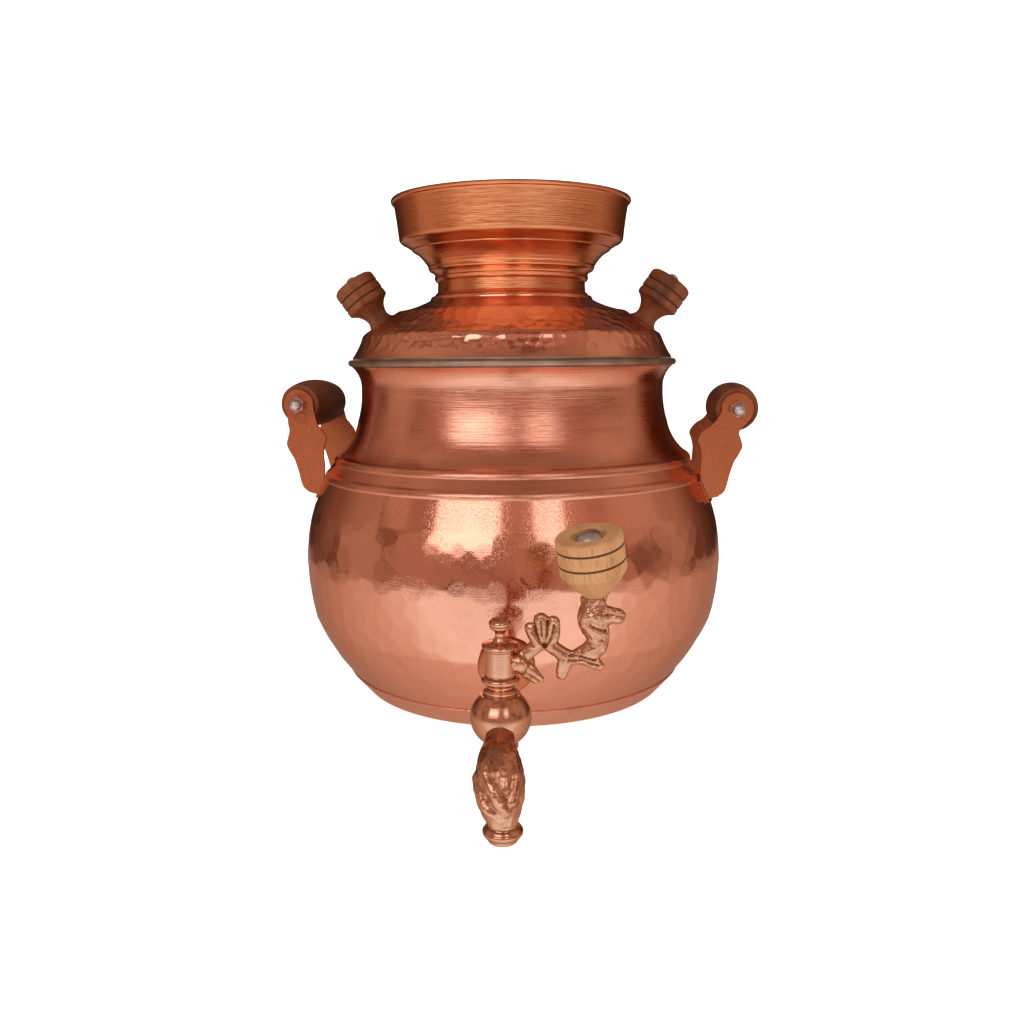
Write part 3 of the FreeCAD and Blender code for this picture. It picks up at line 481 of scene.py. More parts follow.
def make_foot():
    radius = FOOT_TOP_RADIUS
    outline = trace([
        (0, 0),
        (89.5, 0),
        (91.4, 1.4, 2.4, 1),
        (radius + 0.2, FOOT_TOP - 1.0),
        (radius + 0.2, FOOT_TOP, 0.6, 1),
        (radius - SHEET, FOOT_TOP),
        (90.3, 2.2),
        (0, 2.2),
    ], 1.5)
    piece = lathe("foot_pan", outline, "vessel", FOOT_COPPER, segments=220)
    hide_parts("base_pan")


def make_rim():
    outline = trace([
        (89.6, RIM_LOW + 0.2),
        (93.9, RIM_LOW + 0.2),
        (93.9, RIM_TOP - 0.1, 2.0, 1),
        (89.6, RIM_TOP - 0.1),
        (89.6, RIM_LOW + 0.2),
    ], 0.4)[:-1]
    piece = lathe("tinned_rim", outline, "vessel", TIN, segments=260)
    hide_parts("rim_roll")


# The lid

LID = [
    (92.5, LID_SEAT),
    (87.2, 201.6, 42.0, -1),
    (83.6, 206.2, 6.5, 1),
    (66.0, 217.9),
    (47.2, 224.3, 60.0, -1),
    (46.2, LID_TOP - 0.1, 3.0, 1),
    (40.3, LID_TOP - 0.1),
]


def make_lid():
    skin = trace(LID, 0.85)
    relief = skin_relief(skin, pitch=6.2, hollow=0.0200, tilt=0.075, start=2.0, end=42.0, seed=5)
    outline = with_inside(skin, (-0.9, -0.9), 3.0)
    outline[-1] = (91.3, LID_SEAT)
    piece = lathe("lid_hammered", outline, "lid", LID_COPPER, segments=700, relief=relief)
    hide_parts("lid_dome")


def chatter(points, turn):
    """Return the faint upright ripples that spinning leaves on the crown's wall."""
    share = fade(points[:, 1], 259.0, 276.0, 3.0)[:, None]
    ripple = np.sin(turn * 210 + 1.5 * np.sin(turn * 7))[None, :] * np.sin(points[:, 1] * 1.3)[:, None]
    return 0.006 * share * ripple


def make_crown():
    top = CROWN_TOP
    outline = trace([
        (42.7, LID_TOP),
        (44.3, LID_TOP + 0.9, 1.2, 1),
        (42.9, LID_TOP + 2.0, 1.4, 1),
        (42.5, 234.4),
        (44.4, 236.4, 2.2, 1),
        (44.0, 237.8, 1.0, 1),
        (45.9, 240.6, 6.0, -1),
        (47.6, 241.6, 1.1, 1),
        (48.0, 243.0, 1.0, 1),
        (51.8, 248.2, 22.0, -1),
        (56.4, 251.6, 14.0, -1),
        (57.0, 252.6, 0.8, 1),
        (61.6, 255.6),
        (64.3, 258.2, 3.0, 1),
        (66.7, 276.6, 230.0, -1),
        (67.8, 277.6, 0.9, -1),
        (67.8, top - 0.1, 1.35, 1),
        (65.9, top - 0.6, 1.5, 1),
        (65.3, 276.0),
        (62.9, 259.8),
        (61.2, 256.6, 3.0, -1),
        (56.5, 256.5),
        (55.4, 253.0),
        (50.4, 249.2),
        (46.0, 241.6),
        (42.6, 236.0),
        (41.4, 234.0),
        (41.4, LID_TOP),
        (42.7, LID_TOP),
    ], 0.7)[:-1]
    piece = lathe("crown_cup", outline, "lid", CROWN_COPPER, segments=300, relief=chatter)
    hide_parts("crown")


# Knobs and screws

def slanted(origin, direction, spin=0.0):
    """Return a matrix that lays local Z along a direction from an origin in millimetres."""
    turn = Vector((0, 0, 1)).rotation_difference(Vector(direction).normalized())
    return Matrix.Translation(Vector(origin) * MM) @ turn.to_matrix().to_4x4() @ Matrix.Rotation(spin, 4, "Z")


LID_SLOPE = math.radians(35.1)
LID_CONE_RADIUS = 86.4
LID_CONE_HEIGHT = 203.6
LID_KNOB_PLACE = 75.8
LID_KNOB_LENGTH = 30.0


def lid_knob_place(side):
    """Return a lid knob's matrix: square to the lid's cone, with its foot on the lid."""
    sign = 1 if side == "right" else -1
    height = LID_CONE_HEIGHT + (LID_CONE_RADIUS - LID_KNOB_PLACE) * math.tan(LID_SLOPE)
    direction = (sign * math.sin(LID_SLOPE), 0, math.cos(LID_SLOPE))
    return slanted((sign * LID_KNOB_PLACE, 0, height), direction, 0.8 * sign)


def make_lid_knobs():
    length = LID_KNOB_LENGTH
    outline = trace([
        (2.0, 0.1),
        (8.2, 0.1),
        (8.5, 1.0, 0.7, 1),
        (6.3, 5.0, 6.0, -1),
        (11.9, 13.4, 10.5, -1),
        (12.8, 14.6, 1.6, 1),
        (12.8, 17.0),
        (11.8, 17.8, 1.6, 1),
        (12.8, 18.6, 1.6, 1),
        (12.8, 22.4),
        (11.8, 23.2, 1.6, 1),
        (12.8, 24.0, 1.6, 1),
        (12.8, 27.6),
        (10.4, length, 3.0, 1),
        (2.0, length),
    ], 0.5)
    for side in ("left", "right"):
        place = lid_knob_place(side)
        knob = lathe("walnut_knob_" + side, outline, "lid", WALNUT, segments=72, place=place)
        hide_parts("lid_knob_" + side)
        lift = place @ Matrix.Translation((0, 0, (length + 0.05) * MM))
        screw = make_screw("knob_screw_" + side, "lid", lift, 3.8, 2.8, 2.0, length + 7.5)
        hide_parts("lid_knob_bolt_" + side)


def make_screw(name, body, place, head, rise, shank, length):
    """Make a round-headed screw, its head standing on local Z = 0."""
    ball = (head * head + rise * rise) / (2 * rise)
    outline = trace([
        (0.0, -length),
        (shank - 0.3, -length),
        (shank, 0.6 - length),
        (shank, 0),
        (head - 0.2, 0),
        (head, 0.35, 0.3, 1),
        (0.0, rise, ball * 1.02, 1),
    ], 0.4)
    return lathe(name, outline, body, ZINC, segments=48, closed=False, place=place)


# The handles

BOLT_HEIGHT = {side: node_middle("handle_grip_" + side).z for side in ("left", "right")}
BOLT_REACH = {"right": 127.5, "left": 122.5}
SIDE_TURN = {"right": math.radians(-4.0), "left": math.radians(173.0)}
BACKWARDS = {"right": 1, "left": -1}
EYE_RADIUS = 9.05
EAR_INSIDE = 25.25
EAR_SHEET = 1.5


def flow(points, gap):
    """Return points about one gap apart along a smooth line through the given points."""
    points = np.array(points, float)
    padded = np.vstack([2 * points[0] - points[1], points, 2 * points[-1] - points[-2]])
    line = []
    for before, start, end, after in zip(padded, padded[1:], padded[2:], padded[3:]):
        count = max(2, int(np.linalg.norm((end - start)[:3]) / gap))
        for t in np.arange(count) / count:
            bend = (2 * before - 5 * start + 4 * end - after) * t ** 2
            twist = (3 * start - before - 3 * end + after) * t ** 3
            line.append((2 * start + (end - before) * t + bend + twist) / 2)
    line.append(points[-1])
    return line


def ear_outline(side):
    """Return the flat ear's scalloped outline, from its foot up the outside and down the inside."""
    reach = BOLT_REACH[side]
    eye = [(reach + EYE_RADIUS * math.cos(a), BOLT_HEIGHT[side] + EYE_RADIUS * math.sin(a))
           for a in np.radians([-32, 0, 32, 64, 96, 128, 160, 192])]
    outside = [(118.2, 113.8), (121.4, 116.4), (122.9, 120.0), (124.4, 126.4), (126.6, 133.4), (129.2, 137.8),
               (130.9, 142.2), (129.9, 146.4), (128.9, 150.2), ((128.9 + reach + 7.7) / 2, 154.2)]
    inside = [((reach - 8.4 + 109.6) / 2, 154.6), (109.6, 151.4), (106.3, 146.4), (107.6, 141.4),
              (108.4, 136.4), (108.0, 129.0), (108.4, 122.4)]
    return np.array(flow(outside + eye + inside, 0.8) + [np.array([112.7, 112.4])])


def plate(outline, near, far, bevel):
    """Return the vertices and faces of a flat plate with softened edges, in the local XZ plane."""
    flat = np.asarray(outline)
    inward = -outline_normals(flat, True)
    layers = [(near, bevel), (near + bevel, 0), (far - bevel, 0), (far, bevel)]
    vertices = []
    for depth, inset in layers:
        ring = flat + inward * inset
        vertices.extend((x, depth, z) for x, z in ring)
    count = len(flat)
    faces = [tuple(range(count))[::-1]]
    for layer in range(len(layers) - 1):
        low = layer * count
        for k in range(count):
            after = (k + 1) % count
            faces.append((low + k, low + after, low + count + after, low + count + k))
    faces.append(tuple(range(3 * count, 4 * count)))
    return vertices, faces


def strap(half_angle, low, high, thick):
    """Return the vertices and faces of the curved strap that the ears stand on."""
    wide, wide_height = BELLY[-2][:2]
    narrow, narrow_height = BELLY[-1]
    slope = (wide - narrow) / (narrow_height - wide_height)
    foot = wide + 0.1
    section = [(foot - slope * (z - wide_height), z) for z in (low, high)]
    section = [section[0], (section[0][0] + thick, low), (section[1][0] + thick, high), section[1]]
    vertices = []
    steps = 24
    for k in range(steps + 1):
        angle = math.radians(half_angle) * (2 * k / steps - 1)
        vertices.extend((r * math.cos(angle), r * math.sin(angle), z) for r, z in section)
    faces = [(0, 1, 2, 3), tuple(4 * steps + k for k in (3, 2, 1, 0))]
    for k in range(steps):
        for side in range(4):
            after = (side + 1) % 4
            faces.append((4 * k + side, 4 * k + 4 + side, 4 * k + 4 + after, 4 * k + after))
    return vertices, faces


def side_turn(side):
    """Return the turn about Z that takes a part made on the +X side to its place."""
    return Matrix.Rotation(SIDE_TURN[side], 4, "Z")


def make_bracket(side):
    """Make the two scalloped ears on their riveted strap."""
    vertices, faces = strap(14.5, 110.8, 122.8, 1.6)
    for near in (EAR_INSIDE, -EAR_INSIDE - EAR_SHEET):
        more, ear_faces = plate(ear_outline(side), near, near + EAR_SHEET, 0.3)
        faces = list(faces) + [tuple(k + len(vertices) for k in face) for face in ear_faces]
        vertices = list(vertices) + more
    piece = new_piece("handle_plate_" + side, vertices, faces, "vessel", HANDLE_COPPER,
                      side_turn(side), 20.0)
    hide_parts("handle_bracket_" + side)


def bolt_axis(side):
    """Return the matrix of a handle's bolt: local Z runs to the back."""
    middle = side_turn(side) @ Vector((BOLT_REACH[side], 0, BOLT_HEIGHT[side]))
    return slanted(middle, side_turn(side) @ Vector((0, BACKWARDS[side], 0)))


def make_grip(side):
    half = EAR_INSIDE - 0.3
    outline = trace([
        (2.56, -half),
        (10.6, -half),
        (11.6, 1.0 - half, 1.1, 1),
        (14.0, 0, 130.0, 1),
        (11.6, half - 1.0, 130.0, 1),
        (10.6, half, 1.1, 1),
        (2.56, half),
        (2.56, -half),
    ], 0.9)[:-1]
    piece = lathe("wood_grip_" + side, outline, "grip_" + side, GRIP_WOOD, segments=96,
                  place=bolt_axis(side))
    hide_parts("handle_grip_" + side)


def hex_prism(across, low, high, corner):
    """Return the rings of a hexagon nut with turned-off corners, as vertices and faces."""
    segments = 96
    turn = np.arange(segments) * FULL_TURN / segments
    flat = across / 2 / np.cos((turn + math.pi / 6) % (math.pi / 3) - math.pi / 6)
    rings = [(0.0, low), (across / 2 - 0.1, low), (corner, low + 0.5), (corner, high - 0.5),
             (across / 2 - 0.1, high), (0.0, high)]
    vertices = []
    for reach, height in rings:
        radius = np.minimum(flat, reach) if reach > 0 else flat * 0
        vertices.extend(zip(radius * np.cos(turn), radius * np.sin(turn), np.full(segments, height)))
    return vertices, ring_faces(len(rings), segments, False)


def make_cap_nut(side):
    outside = EAR_INSIDE + EAR_SHEET
    place = bolt_axis(side) @ Matrix.Translation((0, 0, -outside * MM)) @ Matrix.Rotation(math.pi, 4, "X")
    vertices, faces = hex_prism(8.0, 0.0, 4.0, 4.5)
    dome = trace([(3.7, 3.6), (3.7, 4.9), (0.0, 8.2, 3.75, 1)], 0.4)
    segments = 48
    start = len(vertices)
    turn = np.arange(segments) * FULL_TURN / segments
    for reach, height in dome:
        vertices.extend(zip(reach * np.cos(turn), reach * np.sin(turn), np.full(segments, height)))
    faces += [tuple(start + k for k in face) for face in ring_faces(len(dome), segments, False)]
    piece = new_piece("cap_nut_" + side, vertices, faces, "vessel", ZINC, place, 30.0)
    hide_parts("handle_nut_" + side)


# The tap

def tap_line(height):
    """Return a matrix on the key's upright axis."""
    return Matrix.Translation((0, -KEY_REACH * MM, height * MM))


def make_tap_flange():
    outline = trace([
        (6.6, 0.1),
        (13.4, 0.1),
        (14.0, 0.8, 0.7, 1),
        (12.4, 1.9, 1.9, 1),
        (8.6, 2.3),
        (6.6, 2.6),
    ], 0.4)
    reach = -node_high("tap_flange").y
    place = slanted((0, -reach, TAP_HEIGHT), (0, -1, 0))
    piece = lathe("tap_rose", outline, "vessel", HANDLE_COPPER, segments=96, place=place)
    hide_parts("tap_flange")


def moulded(name, balls, voxel, flat=1.0, smooth=4):
    """Return a mesh that wraps a cloud of balls in one skin; flat squeezes it along Y."""
    ball = bmesh.new()
    bmesh.ops.create_icosphere(ball, subdivisions=2, radius=1.0)
    shape = np.array([v.co for v in ball.verts])
    shape_faces = [tuple(v.index for v in f.verts) for f in ball.faces]
    ball.free()
    vertices = []
    faces = []
    for x, y, z, radius in balls:
        start = len(vertices)
        vertices.extend(shape * np.array([radius, radius * flat, radius]) + np.array([x, y, z]))
        faces.extend(tuple(k + start for k in face) for face in shape_faces)
    mesh = bpy.data.meshes.new(name)
    mesh.from_pydata([tuple(v) for v in np.array(vertices) * MM], [], faces)
    worker = bpy.data.objects.new(name + "_worker", mesh)
    bpy.context.scene.collection.objects.link(worker)
    skin = worker.modifiers.new("skin", "REMESH")
    skin.mode = "VOXEL"
    skin.voxel_size = voxel * MM
    soften = worker.modifiers.new("soften", "SMOOTH")
    soften.factor = 0.5
    soften.iterations = smooth
    bpy.context.view_layer.update()
    result = bpy.data.meshes.new_from_object(worker.evaluated_get(bpy.context.evaluated_depsgraph_get()))
    bpy.data.objects.remove(worker)
    return result


def roughen(mesh, pitch, depth, seed, keep=None):
    """Move a mesh's skin in and out by a noise of a given pitch and depth in millimetres."""
    mesh.update()
    offset = Vector((seed, seed * 0.7, seed * 1.3))
    moves = []
    for vertex in mesh.vertices:
        point = vertex.co / MM
        share = 1.0 if keep is None else keep(point)
        rise = noise.fractal(point / pitch + offset, 1.0, 2.0, 3) * depth * share * MM
        moves.append(vertex.normal * rise)
    for vertex, move in zip(mesh.vertices, moves):
        vertex.co += move


def engrave(mesh, line, width, depth):
    """Press a groove along a line of (x, z) points into both faces of a flat casting."""
    line = np.array(line, float)
    places = np.array([v.co for v in mesh.vertices]) / MM
    flat = places[:, [0, 2]]
    nearest = np.full(len(places), 1e9)
    for start, end in zip(line[:-1], line[1:]):
        along = end - start
        t = np.clip(((flat - start) @ along) / (along @ along), 0, 1)
        nearest = np.minimum(nearest, np.linalg.norm(flat - start - t[:, None] * along, axis=1))
    press = depth * np.exp(-(nearest / width) ** 2)
    places[:, 1] -= np.sign(places[:, 1]) * np.minimum(press, np.abs(places[:, 1]) * 0.6)
    mesh.vertices.foreach_set("co", (places * MM).ravel())
    mesh.update()


def make_tap_body():
    """Make the shank, the ball with its collars, and the sculpted spout."""
    low = TAP_HEIGHT - 13.5
    ball = trace([
        (5.0, low),
        (7.3, low),
        (7.3, low + 1.4),
        (7.0, low + 2.6),
        (8.4, TAP_HEIGHT + 9.5, 12.7, 1),
        (6.6, TAP_HEIGHT + 10.6, 1.6, -1),
        (6.2, 54.2),
        (7.2, 55.2, 1.2, 1),
        (7.2, 56.2, 0.8, 1),
        (6.2, 57.0),
        (5.9, 57.0),
    ], 0.5)
    piece = lathe("tap_ball", ball, "vessel", TURNED, segments=96, place=tap_line(0))
    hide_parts("tap_body")
    shank = trace([(3.6, 0.0), (6.5, 0.0), (6.5, 78.0), (3.6, 78.0), (3.6, 0.0)], 2.0)[:-1]
    place = slanted((0, node_high("tap_body").y, TAP_HEIGHT), (0, -1, 0))
    piece = lathe("tap_shank", shank, "vessel", TURNED, segments=64, place=place)
    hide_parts("tap_body")
    mesh = moulded("tap_spout", flow([
        (0, -191, 41.2, 6.4),
        (0, -197, 38.0, 6.6),
        (0, -202, 35.6, 7.6),
        (0, -207, 32.4, 9.4),
        (0.4, -210.5, 27.4, 10.6),
        (0.8, -213.0, 22.0, 9.8),
        (1.4, -216.0, 16.6, 7.2),
        (1.8, -217.0, 13.0, 6.0),
    ], 0.8) + flow([
        (-2.5, -207, 38.5, 3.2),
        (-4.5, -214, 34.0, 3.4),
        (-1.0, -220, 27.0, 3.0),
        (3.0, -221, 20.0, 2.6),
    ], 0.8) + flow([
        (4.5, -208, 37.0, 3.0),
        (6.5, -215, 31.5, 3.0),
        (5.5, -220, 24.0, 2.4),
    ], 0.8) + flow([
        (-7.5, -213, 30.0, 3.0),
        (-5.0, -219, 22.0, 2.6),
        (1.0, -221, 17.0, 2.2),
    ], 0.8), 0.55, 1.0, 3)
    roughen(mesh, 3.4, 0.30, 3.0, lambda point: min(max((-point.y - 196) / 8, 0.05), 1.0))
    piece = finish_piece("tap_spout", mesh, "vessel", CAST, sharp=180.0)
    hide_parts("tap_body")
    ring = trace([
        (3.6, 6.2),
        (5.0, 6.2),
        (6.2, 7.4, 1.3, 1),
        (6.3, 8.1, 1.0, -1),
        (7.3, 8.9, 1.0, 1),
        (7.3, 11.7, 1.7, 1),
        (6.2, 12.7, 1.2, 1),
        (5.9, 14.3, 2.0, -1),
        (3.6, 14.3),
    ], 0.4)
    place = Matrix.Translation((1.8 * MM, -0.217, 0))
    piece = lathe("tap_mouth", ring, "vessel", TURNED, segments=72, place=place)
    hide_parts("tap_body")


def make_tap_plug():
    """Make the turned barrel and finial, with the tapered plug below them."""
    top = node_high("tap_plug").z
    outline = trace([
        (0.0, 24.8),
        (2.4, 24.8),
        (2.4, 31.0),
        (4.75, 31.0),
        (5.8, 57.0),
        (6.0, 57.6),
        (7.4, 59.2, 1.6, -1),
        (7.4, 62.0, 1.6, 1),
        (6.4, 63.0, 0.8, -1),
        (6.3, 73.0),
        (7.5, 74.2, 0.9, -1),
        (7.5, 75.6, 0.9, 1),
        (6.9, 76.0),
        (3.4, 76.4),
        (2.2, 80.2, 4.6, -1),
        (3.8, 81.9, 2.6, -1),
        (4.35, 83.4, 1.2, 1),
        (4.2, top - 0.4, 1.6, 1),
        (3.4, top, 0.6, 1),
        (2.6, top - 0.7),
        (0.0, top - 1.1),
    ], 0.4)
    piece = lathe("tap_spindle", outline, "tap_key", TURNED, segments=80, closed=False,
                  place=tap_line(0))
    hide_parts("tap_plug")


LEVER_LEAN = Matrix.Rotation(math.radians(-10.0), 4, "Z")


def make_lever():
    """Make the bird casting of the key's lever, with its tail, arched belly, neck and beak."""
    limbs = [
        [(7.8, -1.6, 67.8, 4.3), (7.8, 1.6, 67.8, 4.3)],
        [(9.0, 0, 66.8, 3.4), (13.2, 0, 64.6, 2.7), (17.0, 0, 61.6, 1.5)],
        [(9.4, 0, 65.4, 2.8), (12.0, 0, 62.6, 2.0), (14.6, 0, 60.6, 1.2)],
        [(8.4, 0, 69.6, 3.4), (12.0, 0, 72.8, 3.2), (16.0, 0, 76.4, 3.2)],
        [(16.4, 0, 76.8, 3.3), (14.2, 0, 80.4, 3.1), (12.6, 0, 83.0, 2.6)],
        [(17.8, 0, 77.2, 3.5), (17.6, 0, 82.2, 3.8), (17.2, 0, 86.4, 3.5)],
        [(19.8, 0, 76.8, 3.3), (21.8, 0, 80.8, 3.3), (22.2, 0, 85.9, 2.9)],
        [(19.6, 0, 77.0, 3.1), (24.6, 0, 73.6, 3.2), (28.0, 0, 71.6, 3.4), (31.4, 0, 71.5, 2.9)],
        [(27.2, 0, 70.4, 3.4), (26.1, 0, 66.6, 3.0), (25.6, 0, 64.0, 2.5)],
        [(30.0, 0, 71.5, 2.9), (35.0, 0, 71.3, 2.9), (38.8, 0, 69.8, 2.9), (41.2, 0, 68.8, 2.1)],
        [(30.5, 0, 72.0, 2.6), (35.6, 0, 73.8, 4.2), (39.2, 0, 76.6, 4.7), (40.2, 0, 80.8, 4.9),
         (38.8, 0, 85.4, 6.0), (38.0, 0, 88.8, 6.5), (38.6, 0, 92.6, 5.3), (38.7, 0, 95.0, 5.2)],
        [(35.0, 0, 95.8, 2.2), (38.4, 0, 96.4, 3.0), (42.0, 0, 97.4, 2.2)],
        [(41.4, 0, 89.4, 4.6), (45.8, 0, 90.0, 3.7), (48.2, 0, 89.8, 3.4)],
    ]
    balls = [ball for points in limbs for ball in flow(points, 0.7)]
    mesh = moulded("lever_bird", balls, 0.40, 0.62, 3)
    grooves = [
        [(18.3, 75.6), (15.6, 80.6), (14.4, 85.0)],
        [(18.4, 75.8), (17.6, 81.0), (17.2, 86.4)],
        [(18.6, 75.6), (19.6, 81.0), (19.8, 86.6)],
        [(19.0, 76.0), (21.4, 80.0), (22.4, 85.0)],
        [(28.6, 70.6), (34.0, 70.6), (40.6, 69.0)],
        [(29.0, 72.9), (34.0, 72.4), (39.4, 71.2)],
        [(43.6, 90.6), (47.0, 90.4), (50.6, 89.6)],
        [(37.2, 86.2), (40.2, 84.6), (43.4, 84.0)],
    ]
    for groove in grooves:
        engrave(mesh, groove, 0.55, 0.9)
    roughen(mesh, 2.6, 0.30, 9.0, lambda point: 1.0 if point.x > 33 else 0.45)
    place = tap_line(0) @ LEVER_LEAN
    piece = finish_piece("lever_bird", mesh, "tap_key", CAST, place, 180.0)
    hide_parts("tap_lever")


def make_tap_knob():
    """Make the pale wooden knob: a cone foot, a drum with two scorched grooves and a sunk screw."""
    length = 26.0
    radius = 13.5
    outline = trace([
        (2.1, 0.6),
        (5.2, 0.6),
        (5.9, 1.3, 0.9, 1),
        (12.4, 9.4, 40.0, 1),
        (radius, 11.4, 3.0, 1),
        (radius, 15.0),
        (radius - 0.5, 15.4, 0.6, 1),
        (radius, 15.8, 0.6, 1),
        (radius, 21.2),
        (radius - 0.5, 21.6, 0.6, 1),
        (radius, 22.0, 0.6, 1),
        (radius, length - 1.2),
        (radius - 1.2, length, 1.3, 1),
        (7.6, length),
        (6.6, length - 1.3, 1.6, 1),
        (2.1, length - 1.4),
    ], 0.4)
    lean = Matrix.Rotation(math.radians(-7.0), 4, "Y") @ Matrix.Rotation(math.radians(11.0), 4, "X")
    foot = tap_line(98.2) @ LEVER_LEAN @ Matrix.Translation((39.8 * MM, 0, 0)) @ lean
    knob = lathe("beech_knob", outline, "tap_key", BEECH, segments=96, place=foot)
    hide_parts("tap_knob")
    lift = foot @ Matrix.Translation((0, 0, (length - 1.35) * MM))
    screw = make_screw("beech_knob_screw", "tap_key", lift, 5.6, 3.2, 1.7, 31.5)
    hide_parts("tap_knob_screw")


def dress_frame():
    """Give the CAD nodes that stay in view their materials."""
    looks = {"lid_skirt": TIN, "tap_boss": BODY_COPPER, "tap_inner_saddle": FIBRE, "tap_locknut": TURNED,
             "lever_pin": ZINC, "plug_washer": TURNED, "plug_nut": TURNED}
    for side in ("left", "right"):
        looks["handle_rivets_" + side] = HANDLE_COPPER
        looks["handle_bolt_" + side] = ZINC
        looks["lid_knob_washer_" + side] = ZINC
        looks["lid_knob_nut_" + side] = ZINC
    for node, look in looks.items():
        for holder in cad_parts[node].material_slots:
            holder.material = look


# The studio

def make_stage():
    """Make the pale cove: a flat table that turns up into a wall all the way round.

    The copper does not mirror the cove. It mirrors the warm room that make_lights() paints.
    """
    segments = 96
    table = 1.3
    bend = 0.6
    top = 2.6
    turn = np.arange(segments) * FULL_TURN / segments
    sweep = np.linspace(0.0, math.pi / 2, 14)
    profile = [(0.001, 0.0), (table / 2, 0.0)]
    profile += [(table + bend * math.sin(a), bend - bend * math.cos(a)) for a in sweep]
    profile.append((table + bend, top))
    vertices = [(r * math.cos(a), r * math.sin(a), z) for r, z in profile for a in turn]
    mesh = bpy.data.meshes.new("cove")
    mesh.from_pydata(vertices, [], ring_faces(len(profile), segments, False))
    mesh.polygons.foreach_set("use_smooth", [True] * len(mesh.polygons))
    n = Nodes("cove_look")
    mesh.materials.append(n.finish(Base_Color=(0.80, 0.80, 0.80, 1), Roughness=0.9,
                                   Emission_Color=(1.0, 1.0, 1.0, 1), Emission_Strength=0.62))
    cove = bpy.data.objects.new("cove", mesh)
    cove.visible_glossy = False
    cove.visible_shadow = False
    bpy.context.scene.collection.objects.link(cove)


def area_light(name, place, target, size, power):
    light = bpy.data.lights.new(name, "AREA")
    light.shape = "RECTANGLE"
    light.size, light.size_y = size
    light.energy = power
    lamp = bpy.data.objects.new(name, light)
    lamp.location = place
    lamp.rotation_euler = (Vector(target) - Vector(place)).to_track_quat("-Z", "Y").to_euler()
    bpy.context.scene.collection.objects.link(lamp)


def world_ramp(tree, direction, stops):
    """Return a colour that follows one direction of the room, from -1 to 1."""
    remap = tree.nodes.new("ShaderNodeMapRange")
    remap.inputs["From Min"].default_value = -1.0
    tree.links.new(direction, remap.inputs["Value"])
    ramp = tree.nodes.new("ShaderNodeValToRGB")
    tree.links.new(remap.outputs["Result"], ramp.inputs["Fac"])
    elements = ramp.color_ramp.elements
    while len(elements) < len(stops):
        elements.new(0.5)
    for element, (position, colour) in zip(elements, stops):
        element.position = position
        element.color = (*colour, 1)
    return ramp.outputs["Color"]


def world_mix(tree, first, second, mode, factor=None):
    """Return two colours mixed in full, or by a factor."""
    node = tree.nodes.new("ShaderNodeMix")
    node.data_type = "RGBA"
    node.blend_type = mode
    tree.links.new(first, node.inputs[6])
    tree.links.new(second, node.inputs[7])
    if factor is None:
        node.inputs[0].default_value = 1.0
    else:
        tree.links.new(factor, node.inputs[0])
    return node.outputs[2]


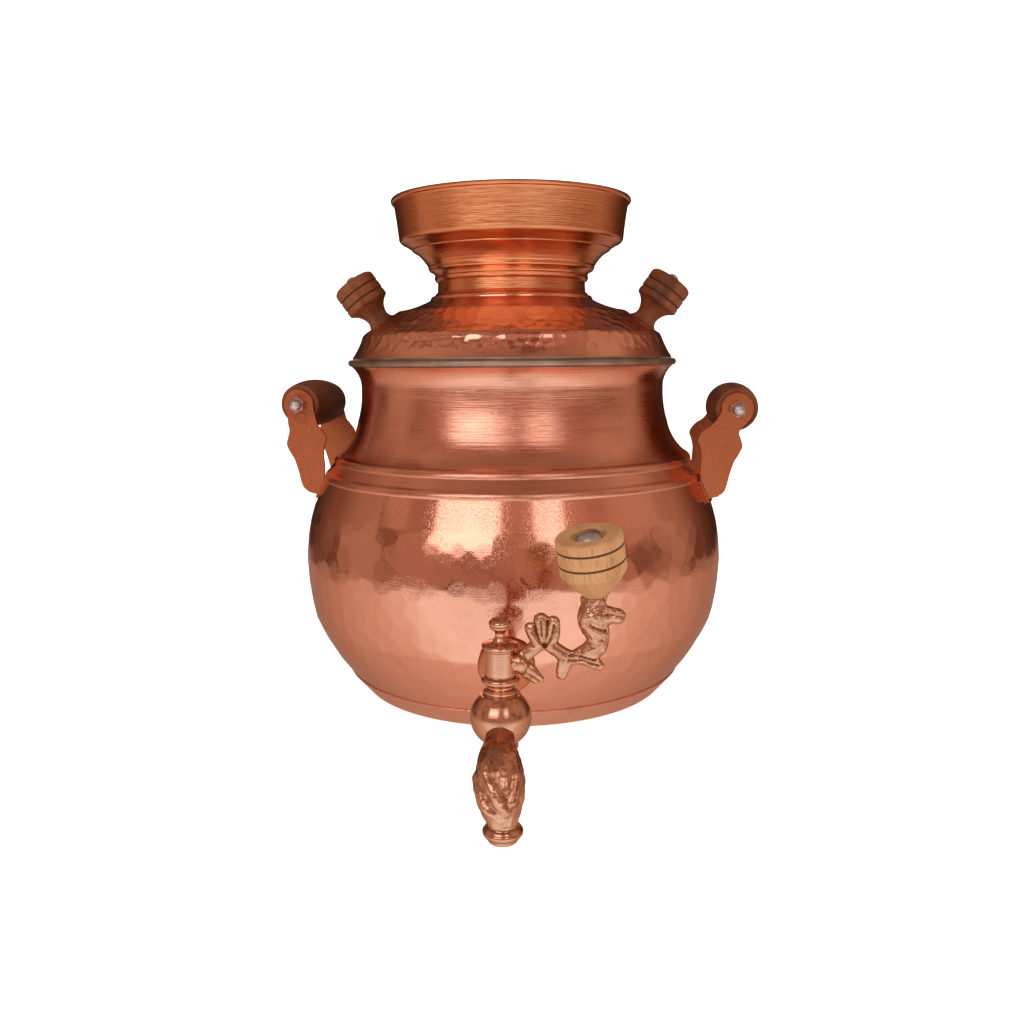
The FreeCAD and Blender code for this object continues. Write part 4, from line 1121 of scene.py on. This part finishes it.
def make_lights():
    """Make a warm, dim room with plain furniture over a pale table, and a window of two panes."""
    world = bpy.data.worlds.new("room")
    bpy.context.scene.world = world
    world.use_nodes = True
    tree = world.node_tree
    where = tree.nodes.new("ShaderNodeTexCoord")
    split = tree.nodes.new("ShaderNodeSeparateXYZ")
    tree.links.new(where.outputs["Generated"], split.inputs[0])
    table = world_ramp(tree, split.outputs["Y"], [
        (0.00, (0.74, 0.70, 0.68)),
        (0.16, (0.82, 0.77, 0.74)),
        (0.32, (0.60, 0.44, 0.37)),
        (0.62, (0.44, 0.28, 0.21)),
        (0.84, (0.30, 0.17, 0.12)),
        (1.00, (0.24, 0.14, 0.10)),
    ])
    room = world_ramp(tree, split.outputs["Y"], [
        (0.00, (0.20, 0.105, 0.080)),
        (0.25, (0.20, 0.110, 0.080)),
        (0.42, (0.20, 0.120, 0.087)),
        (0.58, (0.20, 0.120, 0.087)),
        (0.75, (0.10, 0.045, 0.028)),
        (0.92, (0.03, 0.012, 0.008)),
    ])
    rise = world_ramp(tree, split.outputs["Z"], [
        (0.50, (0.84, 0.84, 0.84)),
        (0.62, (0.90, 0.90, 0.90)),
        (0.74, (1.0, 1.0, 1.0)),
        (0.86, (1.0, 1.0, 1.0)),
        (0.97, (0.66, 0.66, 0.66)),
    ])
    horizon = world_ramp(tree, split.outputs["Z"], [(0.40, (0.0, 0.0, 0.0)), (0.43, (1.0, 1.0, 1.0))])
    shapes = tree.nodes.new("ShaderNodeTexVoronoi")
    shapes.distance = "CHEBYCHEV"
    shapes.inputs["Scale"].default_value = 3.4
    tree.links.new(where.outputs["Generated"], shapes.inputs["Vector"])
    furniture = world_ramp(tree, shapes.outputs["Color"], [
        (0.64, (0.50, 0.43, 0.40)),
        (0.66, (0.78, 0.74, 0.72)),
        (0.74, (0.80, 0.76, 0.74)),
        (0.76, (1.0, 1.0, 1.0)),
    ])
    furnished = world_mix(tree, world_mix(tree, room, rise, "MULTIPLY"), furniture, "MULTIPLY")
    brighter = world_mix(tree, furnished, furnished, "ADD")
    meet = world_mix(tree, table, brighter, "MIX", horizon)
    background = tree.nodes["Background"]
    tree.links.new(meet, background.inputs["Color"])
    background.inputs["Strength"].default_value = 1.35
    for pane, across, wide, power in (("left", -0.76, 1.15, 5.0), ("right", 0.66, 0.50, 1.6)):
        area_light("window_" + pane, (across, -1.6, 0.95), (across * 0.3, 0, 0.12), (wide, 0.85), power)


def make_camera():
    """Make the camera: a little right of the tap, above the lid's knobs and looking slightly down."""
    camera = bpy.data.cameras.new("camera")
    camera.lens = 32.4
    camera.sensor_width = 36.0
    holder = bpy.data.objects.new("camera", camera)
    distance = 0.55
    height = 0.1916
    swing = math.radians(1.75)
    down = math.radians(9.5)
    roll = math.radians(0.4)
    holder.location = (distance * math.sin(swing), -distance * math.cos(swing), height)
    holder.rotation_euler = (math.pi / 2 - down, roll, swing)
    bpy.context.scene.collection.objects.link(holder)
    bpy.context.scene.camera = holder


make_camera()
make_stage()
make_lights()
make_vessel()
make_foot()
make_rim()
make_lid()
make_crown()
make_lid_knobs()
for handle_side in ("left", "right"):
    make_bracket(handle_side)
    make_grip(handle_side)
    make_cap_nut(handle_side)
make_tap_flange()
make_tap_body()
make_tap_plug()
make_lever()
make_tap_knob()
dress_frame()
bpy.context.scene.view_settings.view_transform = "Standard"
